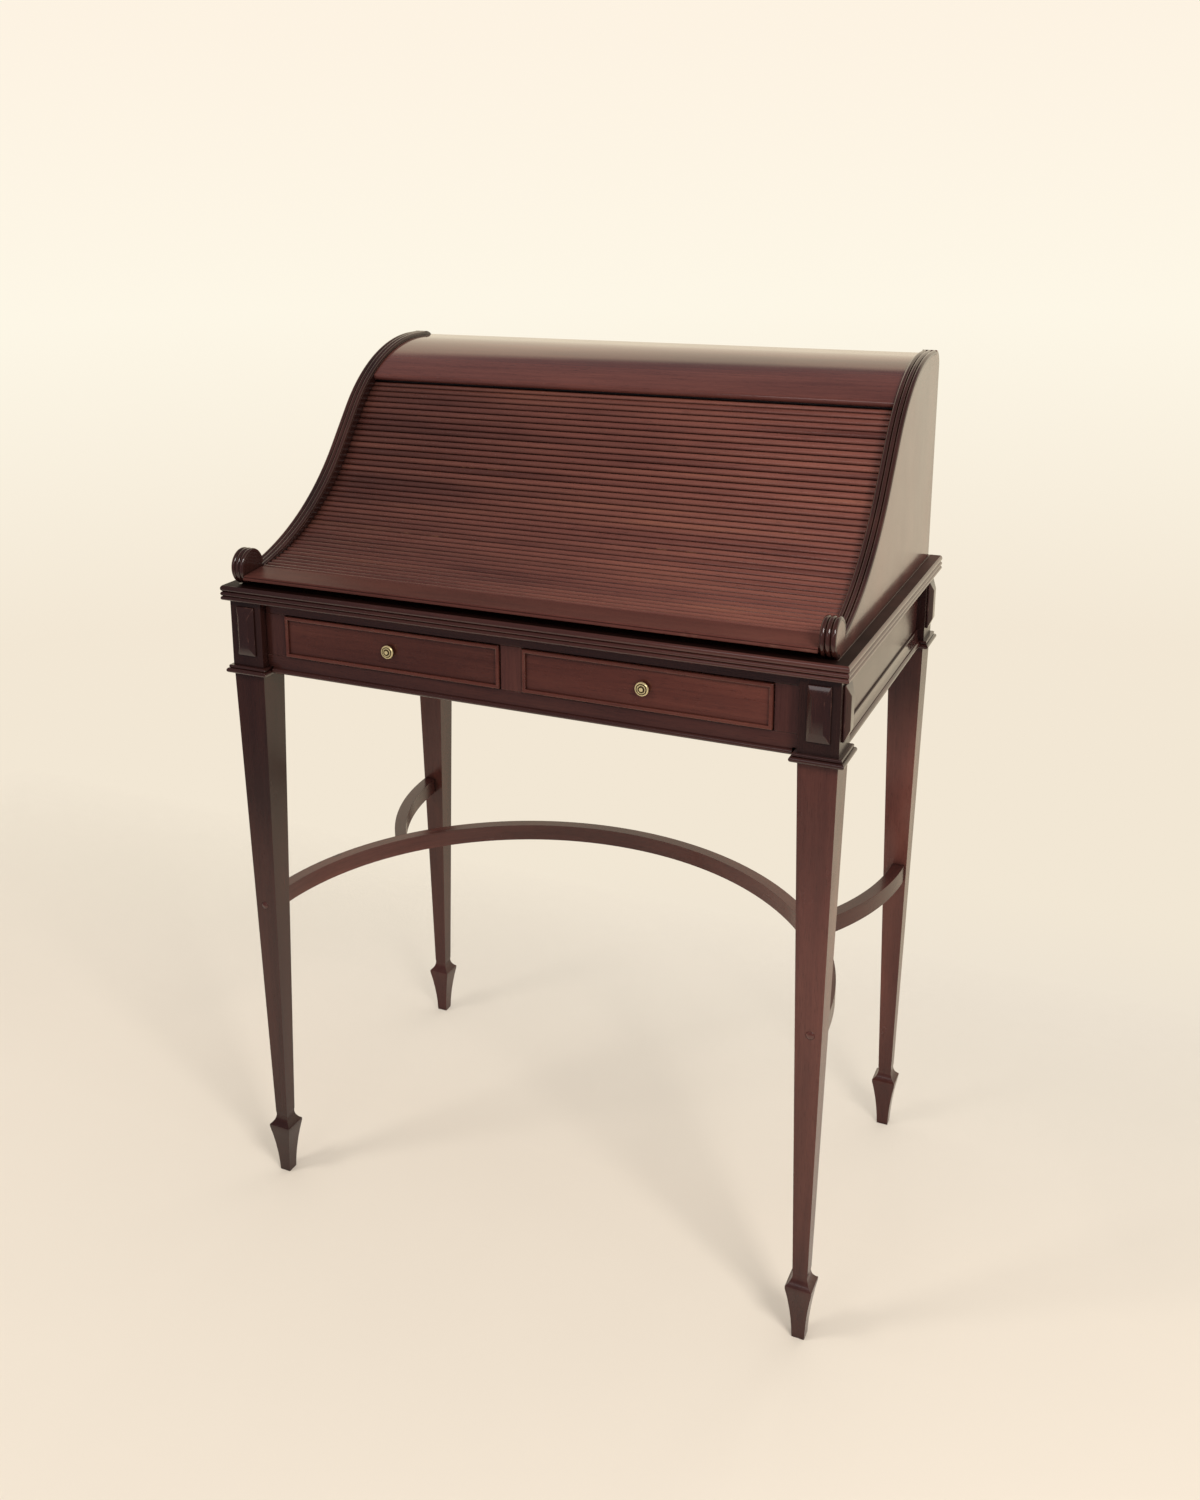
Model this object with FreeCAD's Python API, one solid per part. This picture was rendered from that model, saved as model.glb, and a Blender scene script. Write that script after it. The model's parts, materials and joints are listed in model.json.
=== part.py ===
# Small writing desk on tapered legs, closed by a tambour that runs between two S-shaped side panels.
# Millimetres, +X to the right, +Y to the back, +Z up. The origin is on the floor under the middle.
import FreeCAD, Part
import math
import os

Vec = FreeCAD.Vector

# Desk bed and the reeded moulding round its edge
BED_WIDTH = 702.0
BED_DEPTH = 450.0
BED_TOP = 749.0
BED_THICKNESS = 17.0
BED_MOULDING_WIDTH = 14.0
BED_REED_DEPTH = 2.0
BED_LOW_REED = 5.0
BED_MIDDLE_REED = 5.0

# Legs: corner block, collar, tapered shaft and spade foot
BED_OVERHANG_SIDE = 8.0
BED_OVERHANG_FRONT = 6.5
BLOCK_SIZE = 40.0
BLOCK_HEIGHT = 75.0
COLLAR_SIZE = 53.0
COLLAR_BEAD_HEIGHT = 5.5
COLLAR_BEAD_ROUNDING = 2.6
COLLAR_STEP_SIZE = 48.0
COLLAR_STEP_HEIGHT = 3.5
COLLAR_STEP_ROUNDING = 1.2
SHAFT_TOP_SIZE = 39.0
ANKLE_SIZE = 16.0
ANKLE_HEIGHT = 81.0
FLARE_SIZE = 28.0
FLARE_HEIGHT = 65.0
FLARE_EDGE = 3.0
SOLE_SIZE = 13.5
FOOT_HOLLOW = 1.4

# Faceted blocks on the corner blocks
JEWEL_WIDTH = 23.0
JEWEL_HEIGHT = 56.0
JEWEL_EDGE = 1.8
JEWEL_RISE = 6.4
JEWEL_CROWN_WIDTH = 12.0
JEWEL_CROWN_HEIGHT = 34.0
JEWEL_LIFT = 3.0

# Frieze: rails, stiles and aprons between the corner blocks
FRIEZE_RECESS = 9.5
RAIL_DROP = 7.0
FRONT_RAIL_THICKNESS = 20.0
TOP_RAIL_HEIGHT = 13.0
BOTTOM_RAIL_HEIGHT = 21.0
CENTRE_STILE_WIDTH = 24.6
END_STILE_WIDTH = 25.5
FRONT_BEAD_HEIGHT = 6.0
FRONT_BEAD_RISE = 3.0
APRON_RECESS = 9.0
APRON_THICKNESS = 16.0
APRON_MOULDING_BEAD = 7.0
APRON_MOULDING_COVE = 9.0
APRON_MOULDING_FILLET = 4.0
APRON_MOULDING_RISE = 6.0
APRON_MOULDING_STEP = 2.0

# Drawers
DRAWER_CLEARANCE = 0.8
DRAWER_FRONT_THICKNESS = 16.0
DRAWER_BACK_CLEARANCE = 53.0
DRAWER_SIDE_THICKNESS = 9.0
DRAWER_SIDE_HEIGHT = 41.0
DRAWER_BACK_THICKNESS = 9.0
DRAWER_BOTTOM_THICKNESS = 5.0
DRAWER_BOTTOM_RISE = 5.0
COCK_BEAD_WIDTH = 4.0
COCK_BEAD_RISE = 3.0
COCK_BEAD_ROUNDING = 1.4
RUNNER_HEIGHT = 12.0
RUNNER_BEARING = 24.0
RUNNER_GAP = 0.3
GUIDE_HEIGHT = 14.0
GUIDE_WIDTH = 12.0
GUIDE_GAP = 0.4

# Brass knobs and their screws
KNOB_RADIUS = 7.3
KNOB_ROSE_RADIUS = 5.0
KNOB_ROSE_THICKNESS = 1.0
KNOB_NECK_RADIUS = 3.8
KNOB_NECK_LENGTH = 2.0
KNOB_HEAD_THICKNESS = 2.8
KNOB_RIM_WIDTH = 1.6
KNOB_GROOVE_DEPTH = 0.8
KNOB_RING_RADIUS = 4.7
KNOB_RING_WIDTH = 1.5
KNOB_RING_RISE = 0.4
KNOB_BUTTON_RADIUS = 2.2
KNOB_BUTTON_RISE = 1.0
KNOB_SCREW_RADIUS = 1.9
KNOB_SCREW_DEPTH = 4.0
KNOB_SCREW_HEAD_RADIUS = 3.6
KNOB_SCREW_HEAD_HEIGHT = 2.2
SCREW_FIT = 0.05

# Stretcher: one half-round bar at the front, two shorter arcs to the back legs
STRETCHER_WIDTH = 14.5
STRETCHER_HEIGHT = 20.0
STRETCHER_BOTTOM = 347.5
STRETCHER_OUTSET = 4.5
STRETCHER_SETBACK = 7.0
PLUG_RADIUS = 4.5
PLUG_DEPTH = 4.0
PLUG_RISE = 1.2
LEG_SCREW_RADIUS = 2.5
LEG_SCREW_GRIP = 26.0
LEG_SCREW_OUTSET = 2.0
LEG_SCREW_LIFT = 3.0
LEG_SCREW_HEAD_RADIUS = 4.2
LEG_SCREW_HEAD_HEIGHT = 2.5

# Side panels: S-shaped front edge, flat top, scroll at the front end
PANEL_INSET_SIDE = 14.5
PANEL_INSET_BACK = 10.0
PANEL_THICKNESS = 16.0
PANEL_HEIGHT = 243.0
PANEL_TOP_RUN = 40.0
PANEL_CORNER_RADIUS = 20.0
CREST_RADIUS = 200.0
SLOPE_RUN = 56.0
SCROLL_RADIUS = 20.0
SCROLL_INSET = 2.0
NOTCH_DROP = 2.0
NOTCH_SLOPE = math.radians(14.0)
EDGE_STRIP_THICKNESS = 4.0
EDGE_REED_RISE = 2.4
EDGE_REED_COUNT = 3

# Upper case between the side panels
TOP_RECESS = 5.0
TOP_THICKNESS = 9.0
NOSING_SLOPE = math.radians(35.0)
BACK_PANEL_INSET = 6.0
BACK_PANEL_THICKNESS = 6.0
FALSE_BACK_THICKNESS = 6.0
FALSE_BACK_HEIGHT = 156.0
FALSE_BACK_CLEARANCE = 4.5
PIGEONHOLE_DEPTH = 106.0
PIGEONHOLE_HEIGHT = 119.0
PIGEONHOLE_TOP_THICKNESS = 8.0
PIGEONHOLE_TOP_OVERHANG = 6.0
DIVIDER_THICKNESS = 6.0
DIVIDER_COUNT = 3

# Tambour: slats on a canvas backing, the track that they follow, and the lead rail
TAMBOUR_RECESS = 15.5
SEAM_SETBACK = 38.0
SEAM_RISE = 16.5
BACK_BEND_RADIUS = 60.0
TAMBOUR_BACK_GAP = 11.0
SLAT_PITCH = 8.1
TAMBOUR_TAIL = 15.0
SLAT_GAP = 0.4
SLAT_HEIGHT = 5.5
SLAT_SHOULDER = 2.6
SECTION_SLATS = 4
FREE_SLATS = 8
SECTION_GAP = 0.3
CANVAS_THICKNESS = 0.8
TONGUE_LENGTH = 4.0
GROOVE_DEPTH = 5.0
GROOVE_CLEARANCE = 0.8
SIDE_CLEARANCE = 0.4
RAIL_LENGTH = 37.0
RAIL_LIP = 5.0
RAIL_FOOT_LENGTH = 13.0
RAIL_BED_GAP = 0.5

# Share of its width and height by which a round hollow or corner stays off its own corner at half way
ROUND_SHARE = 1 - math.sqrt(0.5)

# Halvings of the range in which the slope of the panel edge is looked for
HALVINGS = 60

# Places worked out from the sizes above
BED_BOTTOM = BED_TOP - BED_THICKNESS
BED_SIDE = BED_WIDTH / 2
BED_FRONT = -BED_DEPTH / 2
BED_BACK = BED_DEPTH / 2
BLOCK_OUTER_X = BED_SIDE - BED_OVERHANG_SIDE
BLOCK_INNER_X = BLOCK_OUTER_X - BLOCK_SIZE
BLOCK_OUTER_Y = BED_BACK - BED_OVERHANG_FRONT
BLOCK_INNER_Y = BLOCK_OUTER_Y - BLOCK_SIZE
LEG_X = BLOCK_OUTER_X - BLOCK_SIZE / 2
LEG_Y = BLOCK_OUTER_Y - BLOCK_SIZE / 2
FRIEZE_BOTTOM = BED_BOTTOM - BLOCK_HEIGHT
JEWEL_MIDDLE = FRIEZE_BOTTOM + BLOCK_HEIGHT / 2 + JEWEL_LIFT
COLLAR_BOTTOM = FRIEZE_BOTTOM - COLLAR_BEAD_HEIGHT - COLLAR_STEP_HEIGHT
RAIL_BOTTOM = FRIEZE_BOTTOM - RAIL_DROP
FRONT_FACE = -BLOCK_OUTER_Y + FRIEZE_RECESS
FRONT_RAIL_BACK = FRONT_FACE + FRONT_RAIL_THICKNESS
BACK_APRON_FACE = BLOCK_OUTER_Y - FRIEZE_RECESS
BACK_APRON_INNER = BACK_APRON_FACE - APRON_THICKNESS
APRON_FACE = BLOCK_OUTER_X - APRON_RECESS
APRON_INNER = APRON_FACE - APRON_THICKNESS
DRAWER_OPENING_BOTTOM = RAIL_BOTTOM + BOTTOM_RAIL_HEIGHT
DRAWER_OPENING_TOP = BED_BOTTOM - TOP_RAIL_HEIGHT
DRAWER_OPENING_INNER = CENTRE_STILE_WIDTH / 2
DRAWER_OPENING_OUTER = BLOCK_INNER_X - END_STILE_WIDTH
DRAWER_INNER = DRAWER_OPENING_INNER + DRAWER_CLEARANCE
DRAWER_OUTER = DRAWER_OPENING_OUTER - DRAWER_CLEARANCE
DRAWER_BOTTOM = DRAWER_OPENING_BOTTOM + DRAWER_CLEARANCE
DRAWER_TOP = DRAWER_OPENING_TOP - DRAWER_CLEARANCE
DRAWER_FRONT_BACK = FRONT_FACE + DRAWER_FRONT_THICKNESS
DRAWER_BACK = BACK_APRON_INNER - DRAWER_BACK_CLEARANCE
KNOB_X = (DRAWER_INNER + DRAWER_OUTER) / 2
KNOB_Z = (DRAWER_BOTTOM + DRAWER_TOP) / 2
RUNNER_TOP = DRAWER_BOTTOM - RUNNER_GAP
STRETCHER_RADIUS = LEG_X + STRETCHER_OUTSET
STRETCHER_CENTRE = LEG_Y - STRETCHER_SETBACK
LEG_SCREW_X = LEG_X + LEG_SCREW_OUTSET
LEG_SCREW_Z = STRETCHER_BOTTOM + STRETCHER_HEIGHT / 2 + LEG_SCREW_LIFT
PANEL_OUTER_X = BED_SIDE - PANEL_INSET_SIDE
PANEL_INNER_X = PANEL_OUTER_X - PANEL_THICKNESS
PANEL_BACK = BED_BACK - PANEL_INSET_BACK
PANEL_TOP = BED_TOP + PANEL_HEIGHT
SCROLL_Y = BED_FRONT + SCROLL_INSET + SCROLL_RADIUS
SCROLL_Z = BED_TOP + SCROLL_RADIUS
SCROLL_CORE = SCROLL_RADIUS - EDGE_STRIP_THICKNESS
NOTCH = (SCROLL_Y + math.sqrt(SCROLL_RADIUS ** 2 - NOTCH_DROP ** 2), SCROLL_Z - NOTCH_DROP)
CREST_CENTRE = (PANEL_BACK - PANEL_TOP_RUN, PANEL_TOP - CREST_RADIUS)
STRIP_END = PANEL_BACK - PANEL_CORNER_RADIUS
BACK_PANEL_BACK = PANEL_BACK - BACK_PANEL_INSET
BACK_PANEL_FRONT = BACK_PANEL_BACK - BACK_PANEL_THICKNESS
TOP_FACE = PANEL_TOP - TOP_RECESS
TOP_UNDERSIDE = TOP_FACE - TOP_THICKNESS
TAMBOUR_BACK = BACK_PANEL_FRONT - TAMBOUR_BACK_GAP
FALSE_BACK_REAR = TAMBOUR_BACK - SLAT_HEIGHT - FALSE_BACK_CLEARANCE
FALSE_BACK_FRONT = FALSE_BACK_REAR - FALSE_BACK_THICKNESS
PIGEONHOLE_FRONT = FALSE_BACK_FRONT - PIGEONHOLE_DEPTH
PIGEONHOLE_TOP = BED_TOP + PIGEONHOLE_HEIGHT


# General helpers

def box(x0, x1, y0, y1, z0, z1):
    return Part.makeBox(x1 - x0, y1 - y0, z1 - z0, Vec(x0, y0, z0))


def mirrored_x(shape):
    return shape.mirror(Vec(0, 0, 0), Vec(1, 0, 0))


def line(start, end):
    return Part.LineSegment(start, end).toShape()


def arc(start, middle, end):
    return Part.Arc(start, middle, end).toShape()


def face(edges):
    return Part.Face(Part.Wire(edges))


def polygon(points):
    return Part.Face(Part.makePolygon(points + points[:1]))


def in_side_plane(x, point):
    """The point (y, z) of a side view, in the plane at x."""
    return Vec(x, point[0], point[1])


def export(name, *solids):
    shape = solids[0] if len(solids) == 1 else Part.makeCompound(list(solids))
    shape.exportStep("parts/" + name + ".step")


# Curves of the side view: each path is a run of tangent arcs and lines in the YZ plane.
# The slope is the angle of travel above +Y, and outward is to the left of the travel.

def arc_stretch(centre, radius, start, end):
    """Arc from slope start to slope end. It bows outward where the slope falls, inward where it rises."""
    bow = 1 if end < start else -1
    length = radius * abs(end - start)
    return {"centre": centre, "reach": bow * radius, "start": start, "end": end, "length": length}


def line_stretch(origin, slope, length):
    return {"origin": origin, "start": slope, "end": slope, "length": length}


def stretch_point(stretch, along, outward=0.0):
    """Point (y, z) and slope at a distance along one stretch, moved outward from it."""
    share = along / stretch["length"]
    slope = stretch["start"] + (stretch["end"] - stretch["start"]) * share
    if "centre" in stretch:
        reach = stretch["reach"] + outward
        centre = stretch["centre"]
        return (centre[0] - reach * math.sin(slope), centre[1] + reach * math.cos(slope)), slope
    origin = stretch["origin"]
    y = origin[0] + along * math.cos(slope) - outward * math.sin(slope)
    z = origin[1] + along * math.sin(slope) + outward * math.cos(slope)
    return (y, z), slope


def path_point(path, along, outward=0.0):
    """Point (y, z) and slope at a distance along a whole path."""
    for stretch in path[:-1]:
        if along <= stretch["length"]:
            return stretch_point(stretch, along, outward)
        along -= stretch["length"]
    return stretch_point(path[-1], along, outward)


def path_length(path):
    return sum(stretch["length"] for stretch in path)


def path_edges(path, x, outward, begin=0.0):
    """Edges of the path in the plane at x, moved outward, from the distance begin to its end."""
    edges = []
    for stretch in path:
        length = stretch["length"]
        first = max(begin, 0.0)
        begin -= length
        if first >= length:
            continue
        marks = [stretch_point(stretch, along, outward)[0] for along in (first, (first + length) / 2, length)]
        points = [in_side_plane(x, mark) for mark in marks]
        edges.append(arc(*points) if "centre" in stretch else line(points[0], points[2]))
    return edges


def tangent_hollow(top, slope, through):
    """Hollow arc that ends at the point top with the given slope and starts at the point through."""
    normal = (-math.sin(slope), math.cos(slope))
    dy = through[0] - top[0]
    dz = through[1] - top[1]
    radius = (dy * dy + dz * dz) / (2 * (normal[0] * dy + normal[1] * dz))
    centre = (top[0] + radius * normal[0], top[1] + radius * normal[1])
    start = math.atan2(through[0] - centre[0], centre[1] - through[1])
    return arc_stretch(centre, radius, start, slope)


def slope_foot(slope):
    """Lower end of the straight stretch of the panel edge, where it has the given slope."""
    y = CREST_CENTRE[0] - CREST_RADIUS * math.sin(slope) - SLOPE_RUN * math.cos(slope)
    z = CREST_CENTRE[1] + CREST_RADIUS * math.cos(slope) - SLOPE_RUN * math.sin(slope)
    return (y, z)


def find_edge_slope():
    """Slope of the straight stretch for which the hollow below it meets the notch at its own slope."""
    low = NOTCH_SLOPE
    high = math.pi / 2
    for _ in range(HALVINGS):
        slope = (low + high) / 2
        foot = slope_foot(slope)
        rise = (foot[0] - NOTCH[0]) * math.tan((NOTCH_SLOPE + slope) / 2)
        if rise < foot[1] - NOTCH[1]:
            low = slope
        else:
            high = slope
    return low


EDGE_SLOPE = find_edge_slope()


def panel_edge_path():
    """Front and top edge of a side panel, from the notch behind the scroll to the end of its strip."""
    crest = arc_stretch(CREST_CENTRE, CREST_RADIUS, EDGE_SLOPE, 0.0)
    foot = slope_foot(EDGE_SLOPE)
    hollow = tangent_hollow(foot, EDGE_SLOPE, NOTCH)
    straight = line_stretch(foot, EDGE_SLOPE, SLOPE_RUN)
    top = line_stretch((CREST_CENTRE[0], PANEL_TOP), 0.0, STRIP_END - CREST_CENTRE[0])
    return [hollow, straight, crest, top]


def tambour_path():
    """Line of the canvas face: from the seam behind the lead rail, up, over the back bend and down."""
    edge = panel_edge_path()
    outer_radius = CREST_RADIUS - TAMBOUR_RECESS
    foot = stretch_point(edge[1], 0.0, -TAMBOUR_RECESS)[0]
    seam = (BED_FRONT + SEAM_SETBACK, BED_TOP + SEAM_RISE)
    outer_hollow = tangent_hollow(foot, EDGE_SLOPE, seam)
    bend_y = TAMBOUR_BACK - BACK_BEND_RADIUS
    bend_slope = math.asin((CREST_CENTRE[0] - bend_y) / (outer_radius - BACK_BEND_RADIUS))
    bend_z = CREST_CENTRE[1] + (outer_radius - BACK_BEND_RADIUS) * math.cos(bend_slope)
    hollow_radius = abs(outer_hollow["reach"]) + SLAT_HEIGHT
    hollow = arc_stretch(outer_hollow["centre"], hollow_radius, outer_hollow["start"], EDGE_SLOPE)
    straight_foot = stretch_point(edge[1], 0.0, -TAMBOUR_RECESS - SLAT_HEIGHT)[0]
    straight = line_stretch(straight_foot, EDGE_SLOPE, SLOPE_RUN)
    crest = arc_stretch(CREST_CENTRE, outer_radius - SLAT_HEIGHT, EDGE_SLOPE, bend_slope)
    bend = arc_stretch((bend_y, bend_z), BACK_BEND_RADIUS - SLAT_HEIGHT, bend_slope, -math.pi / 2)
    fall_start = (TAMBOUR_BACK - SLAT_HEIGHT, bend_z)
    fall = line_stretch(fall_start, -math.pi / 2, bend_z - BED_TOP)
    return [hollow, straight, crest, bend, fall]


def slat_count():
    """Number of slats from the seam to a tail hidden behind the nosing."""
    hollow, straight, crest = tambour_path()[:3]
    to_nosing = crest["length"] * (EDGE_SLOPE - NOSING_SLOPE) / (EDGE_SLOPE - crest["end"])
    return math.ceil((hollow["length"] + straight["length"] + to_nosing + TAMBOUR_TAIL) / SLAT_PITCH)


# Legs and what is fixed to them

def leg_outline(direction):
    """Silhouette of a leg on its own axis, in the plane of Z and the given level direction."""
    def spot(half_width, height):
        return direction * half_width + Vec(0, 0, height)

    block = BLOCK_SIZE / 2
    shaft = SHAFT_TOP_SIZE / 2
    ankle = ANKLE_SIZE / 2
    flare = FLARE_SIZE / 2
    sole = SOLE_SIZE / 2
    cove_height = FLARE_HEIGHT + (ANKLE_HEIGHT - FLARE_HEIGHT) * ROUND_SHARE
    cove_middle = (ankle + (flare - ankle) * ROUND_SHARE, cove_height)
    hem = FLARE_HEIGHT - FLARE_EDGE
    hollow_middle = ((flare + sole) / 2 - FOOT_HOLLOW, hem / 2)
    edges = [line(spot(-block, BED_BOTTOM), spot(block, BED_BOTTOM))]
    for side in (1, -1):
        edges.append(line(spot(side * block, BED_BOTTOM), spot(side * block, FRIEZE_BOTTOM)))
        edges.append(line(spot(side * block, FRIEZE_BOTTOM), spot(side * shaft, FRIEZE_BOTTOM)))
        edges.append(line(spot(side * shaft, FRIEZE_BOTTOM), spot(side * shaft, COLLAR_BOTTOM)))
        edges.append(line(spot(side * shaft, COLLAR_BOTTOM), spot(side * ankle, ANKLE_HEIGHT)))
        edges.append(arc(spot(side * ankle, ANKLE_HEIGHT), spot(side * cove_middle[0], cove_middle[1]),
                         spot(side * flare, FLARE_HEIGHT)))
        edges.append(line(spot(side * flare, FLARE_HEIGHT), spot(side * flare, hem)))
        edges.append(arc(spot(side * flare, hem), spot(side * hollow_middle[0], hollow_middle[1]),
                         spot(side * sole, 0)))
    edges.append(line(spot(sole, 0), spot(-sole, 0)))
    return face(Part.__sortEdges__(edges))


def shaft_half_width(height):
    """Half the width of the tapered shaft at a height above the floor."""
    share = (height - ANKLE_HEIGHT) / (COLLAR_BOTTOM - ANKLE_HEIGHT)
    return (ANKLE_SIZE + (SHAFT_TOP_SIZE - ANKLE_SIZE) * share) / 2


LEG_FACE = shaft_half_width(LEG_SCREW_Z)


def leg_screw_start(rear):
    """Y of the bottom of the plug hole in a leg."""
    return rear * (LEG_Y + LEG_FACE - PLUG_DEPTH)


def make_leg(side, rear):
    """A leg with its hole for the stretcher screw; side and rear are 1 or -1."""
    depth = BLOCK_SIZE + COLLAR_SIZE
    across = leg_outline(Vec(1, 0, 0))
    across.translate(Vec(0, -depth / 2, 0))
    along = leg_outline(Vec(0, 1, 0))
    along.translate(Vec(-depth / 2, 0, 0))
    leg = across.extrude(Vec(0, depth, 0)).common(along.extrude(Vec(depth, 0, 0)))
    leg.translate(Vec(side * LEG_X, rear * LEG_Y, 0))
    outward = Vec(0, rear, 0)
    hole_bottom = Vec(side * LEG_SCREW_X, leg_screw_start(rear), LEG_SCREW_Z)
    plug_hole = Part.makeCylinder(PLUG_RADIUS + SCREW_FIT, BLOCK_SIZE, hole_bottom, outward)
    screw_hole = Part.makeCylinder(LEG_SCREW_RADIUS + SCREW_FIT, BLOCK_SIZE, hole_bottom, outward * -1)
    head_depth = LEG_SCREW_HEAD_HEIGHT + SCREW_FIT
    head_hole = Part.makeCylinder(LEG_SCREW_HEAD_RADIUS + SCREW_FIT, head_depth, hole_bottom, outward * -1)
    return leg.cut(plug_hole).cut(screw_hole).cut(head_hole)


def square_slab(side, rear, size, low, high):
    """Square block round the axis of a leg."""
    x = side * LEG_X
    y = rear * LEG_Y
    return box(x - size / 2, x + size / 2, y - size / 2, y + size / 2, low, high)


def rounded_slab(side, rear, size, low, high, rounding):
    """Square block round the axis of a leg, with its level edges rounded."""
    slab = square_slab(side, rear, size, low, high)
    level = [edge for edge in slab.Edges if edge.BoundBox.ZLength < rounding]
    return slab.makeFillet(rounding, level)


def make_collar(side, rear):
    """Bead round the top of a shaft, with a smaller bead on it under the corner block."""
    bead_top = COLLAR_BOTTOM + COLLAR_BEAD_HEIGHT
    bead = rounded_slab(side, rear, COLLAR_SIZE, COLLAR_BOTTOM, bead_top, COLLAR_BEAD_ROUNDING)
    step = rounded_slab(side, rear, COLLAR_STEP_SIZE, bead_top, FRIEZE_BOTTOM, COLLAR_STEP_ROUNDING)
    shaft = square_slab(side, rear, SHAFT_TOP_SIZE, COLLAR_BOTTOM, FRIEZE_BOTTOM)
    return bead.fuse(step).cut(shaft)


def clear_of_collars(shape):
    """The shape, notched where it would run into a collar."""
    for side in (-1, 1):
        for rear in (-1, 1):
            shape = shape.cut(square_slab(side, rear, COLLAR_SIZE, COLLAR_BOTTOM, FRIEZE_BOTTOM))
    return shape


def make_jewel(base, right, outward):
    """Faceted block on a face: base is the middle of its back, right and outward are unit vectors."""
    def rectangle(width, height, rise):
        corners = [(-1, -1), (1, -1), (1, 1), (-1, 1)]
        points = [base + right * (a * width / 2) + Vec(0, 0, b * height / 2) + outward * rise
                  for a, b in corners]
        return Part.makePolygon(points + points[:1])

    foot = rectangle(JEWEL_WIDTH, JEWEL_HEIGHT, 0.0)
    shoulder = rectangle(JEWEL_WIDTH, JEWEL_HEIGHT, JEWEL_EDGE)
    crown = rectangle(JEWEL_CROWN_WIDTH, JEWEL_CROWN_HEIGHT, JEWEL_RISE)
    return Part.makeLoft([foot, shoulder, crown], True, True)


def make_jewels():
    jewels = []
    for side in (-1, 1):
        front = Vec(side * LEG_X, -BLOCK_OUTER_Y, JEWEL_MIDDLE)
        jewels.append(make_jewel(front, Vec(1, 0, 0), Vec(0, -1, 0)))
        for rear in (-1, 1):
            flank = Vec(side * BLOCK_OUTER_X, rear * LEG_Y, JEWEL_MIDDLE)
            jewels.append(make_jewel(flank, Vec(0, side, 0), Vec(side, 0, 0)))
    return jewels


# Stretcher and its fixings

def half_ring(rear):
    """Half-round bar that bows from one pair of legs towards the other; rear is 1 or -1."""
    centre_y = rear * STRETCHER_CENTRE
    centre = Vec(0, centre_y, STRETCHER_BOTTOM)
    outer = Part.makeCylinder(STRETCHER_RADIUS + STRETCHER_WIDTH / 2, STRETCHER_HEIGHT, centre)
    inner = Part.makeCylinder(STRETCHER_RADIUS - STRETCHER_WIDTH / 2, STRETCHER_HEIGHT, centre)
    ends = sorted((centre_y, centre_y - rear * BED_WIDTH))
    half = box(-BED_WIDTH, BED_WIDTH, ends[0], ends[1], STRETCHER_BOTTOM, STRETCHER_BOTTOM + STRETCHER_HEIGHT)
    return outer.cut(inner).common(half)


def leg_screw(side, rear):
    """Screw through a leg into the end of a stretcher bar."""
    start = Vec(side * LEG_SCREW_X, leg_screw_start(rear), LEG_SCREW_Z)
    inward = Vec(0, -rear, 0)
    length = 2 * LEG_FACE - PLUG_DEPTH + LEG_SCREW_GRIP
    head = Part.makeCylinder(LEG_SCREW_HEAD_RADIUS, LEG_SCREW_HEAD_HEIGHT, start, inward)
    return head.fuse(Part.makeCylinder(LEG_SCREW_RADIUS, length, start, inward)).removeSplitter()


def leg_screw_hole(side, rear):
    """Hole in a stretcher bar for the screw of one leg."""
    start = Vec(side * LEG_SCREW_X, leg_screw_start(rear), LEG_SCREW_Z)
    length = 2 * LEG_FACE - PLUG_DEPTH + LEG_SCREW_GRIP + SCREW_FIT
    return Part.makeCylinder(LEG_SCREW_RADIUS + SCREW_FIT, length, start, Vec(0, -rear, 0))


def stretcher_plug(side, rear):
    """Domed plug over the head of a stretcher screw."""
    crown = PLUG_DEPTH + PLUG_RISE
    dome_radius = (PLUG_RADIUS ** 2 + PLUG_RISE ** 2) / (2 * PLUG_RISE)
    half_turn = math.asin(PLUG_RADIUS / dome_radius) / 2
    dome_middle = Vec(dome_radius * math.sin(half_turn), 0, crown - dome_radius * (1 - math.cos(half_turn)))
    edges = [
        line(Vec(0, 0, 0), Vec(PLUG_RADIUS, 0, 0)),
        line(Vec(PLUG_RADIUS, 0, 0), Vec(PLUG_RADIUS, 0, PLUG_DEPTH)),
        arc(Vec(PLUG_RADIUS, 0, PLUG_DEPTH), dome_middle, Vec(0, 0, crown)),
        line(Vec(0, 0, crown), Vec(0, 0, 0)),
    ]
    plug = face(edges).revolve(Vec(0, 0, 0), Vec(0, 0, 1), 360)
    plug.rotate(Vec(0, 0, 0), Vec(1, 0, 0), -90 * rear)
    plug.translate(Vec(side * LEG_SCREW_X, leg_screw_start(rear), LEG_SCREW_Z))
    return plug


# Frieze

def round_strip(x0, x1, y_back, rise, z0, z1):
    """Level bead along X: flat at the back, half-round to the front."""
    middle = (z0 + z1) / 2
    edges = [
        line(Vec(x0, y_back, z1), Vec(x0, y_back, z0)),
        arc(Vec(x0, y_back, z0), Vec(x0, y_back - rise, middle), Vec(x0, y_back, z1)),
    ]
    return face(edges).extrude(Vec(x1 - x0, 0, 0))


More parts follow.
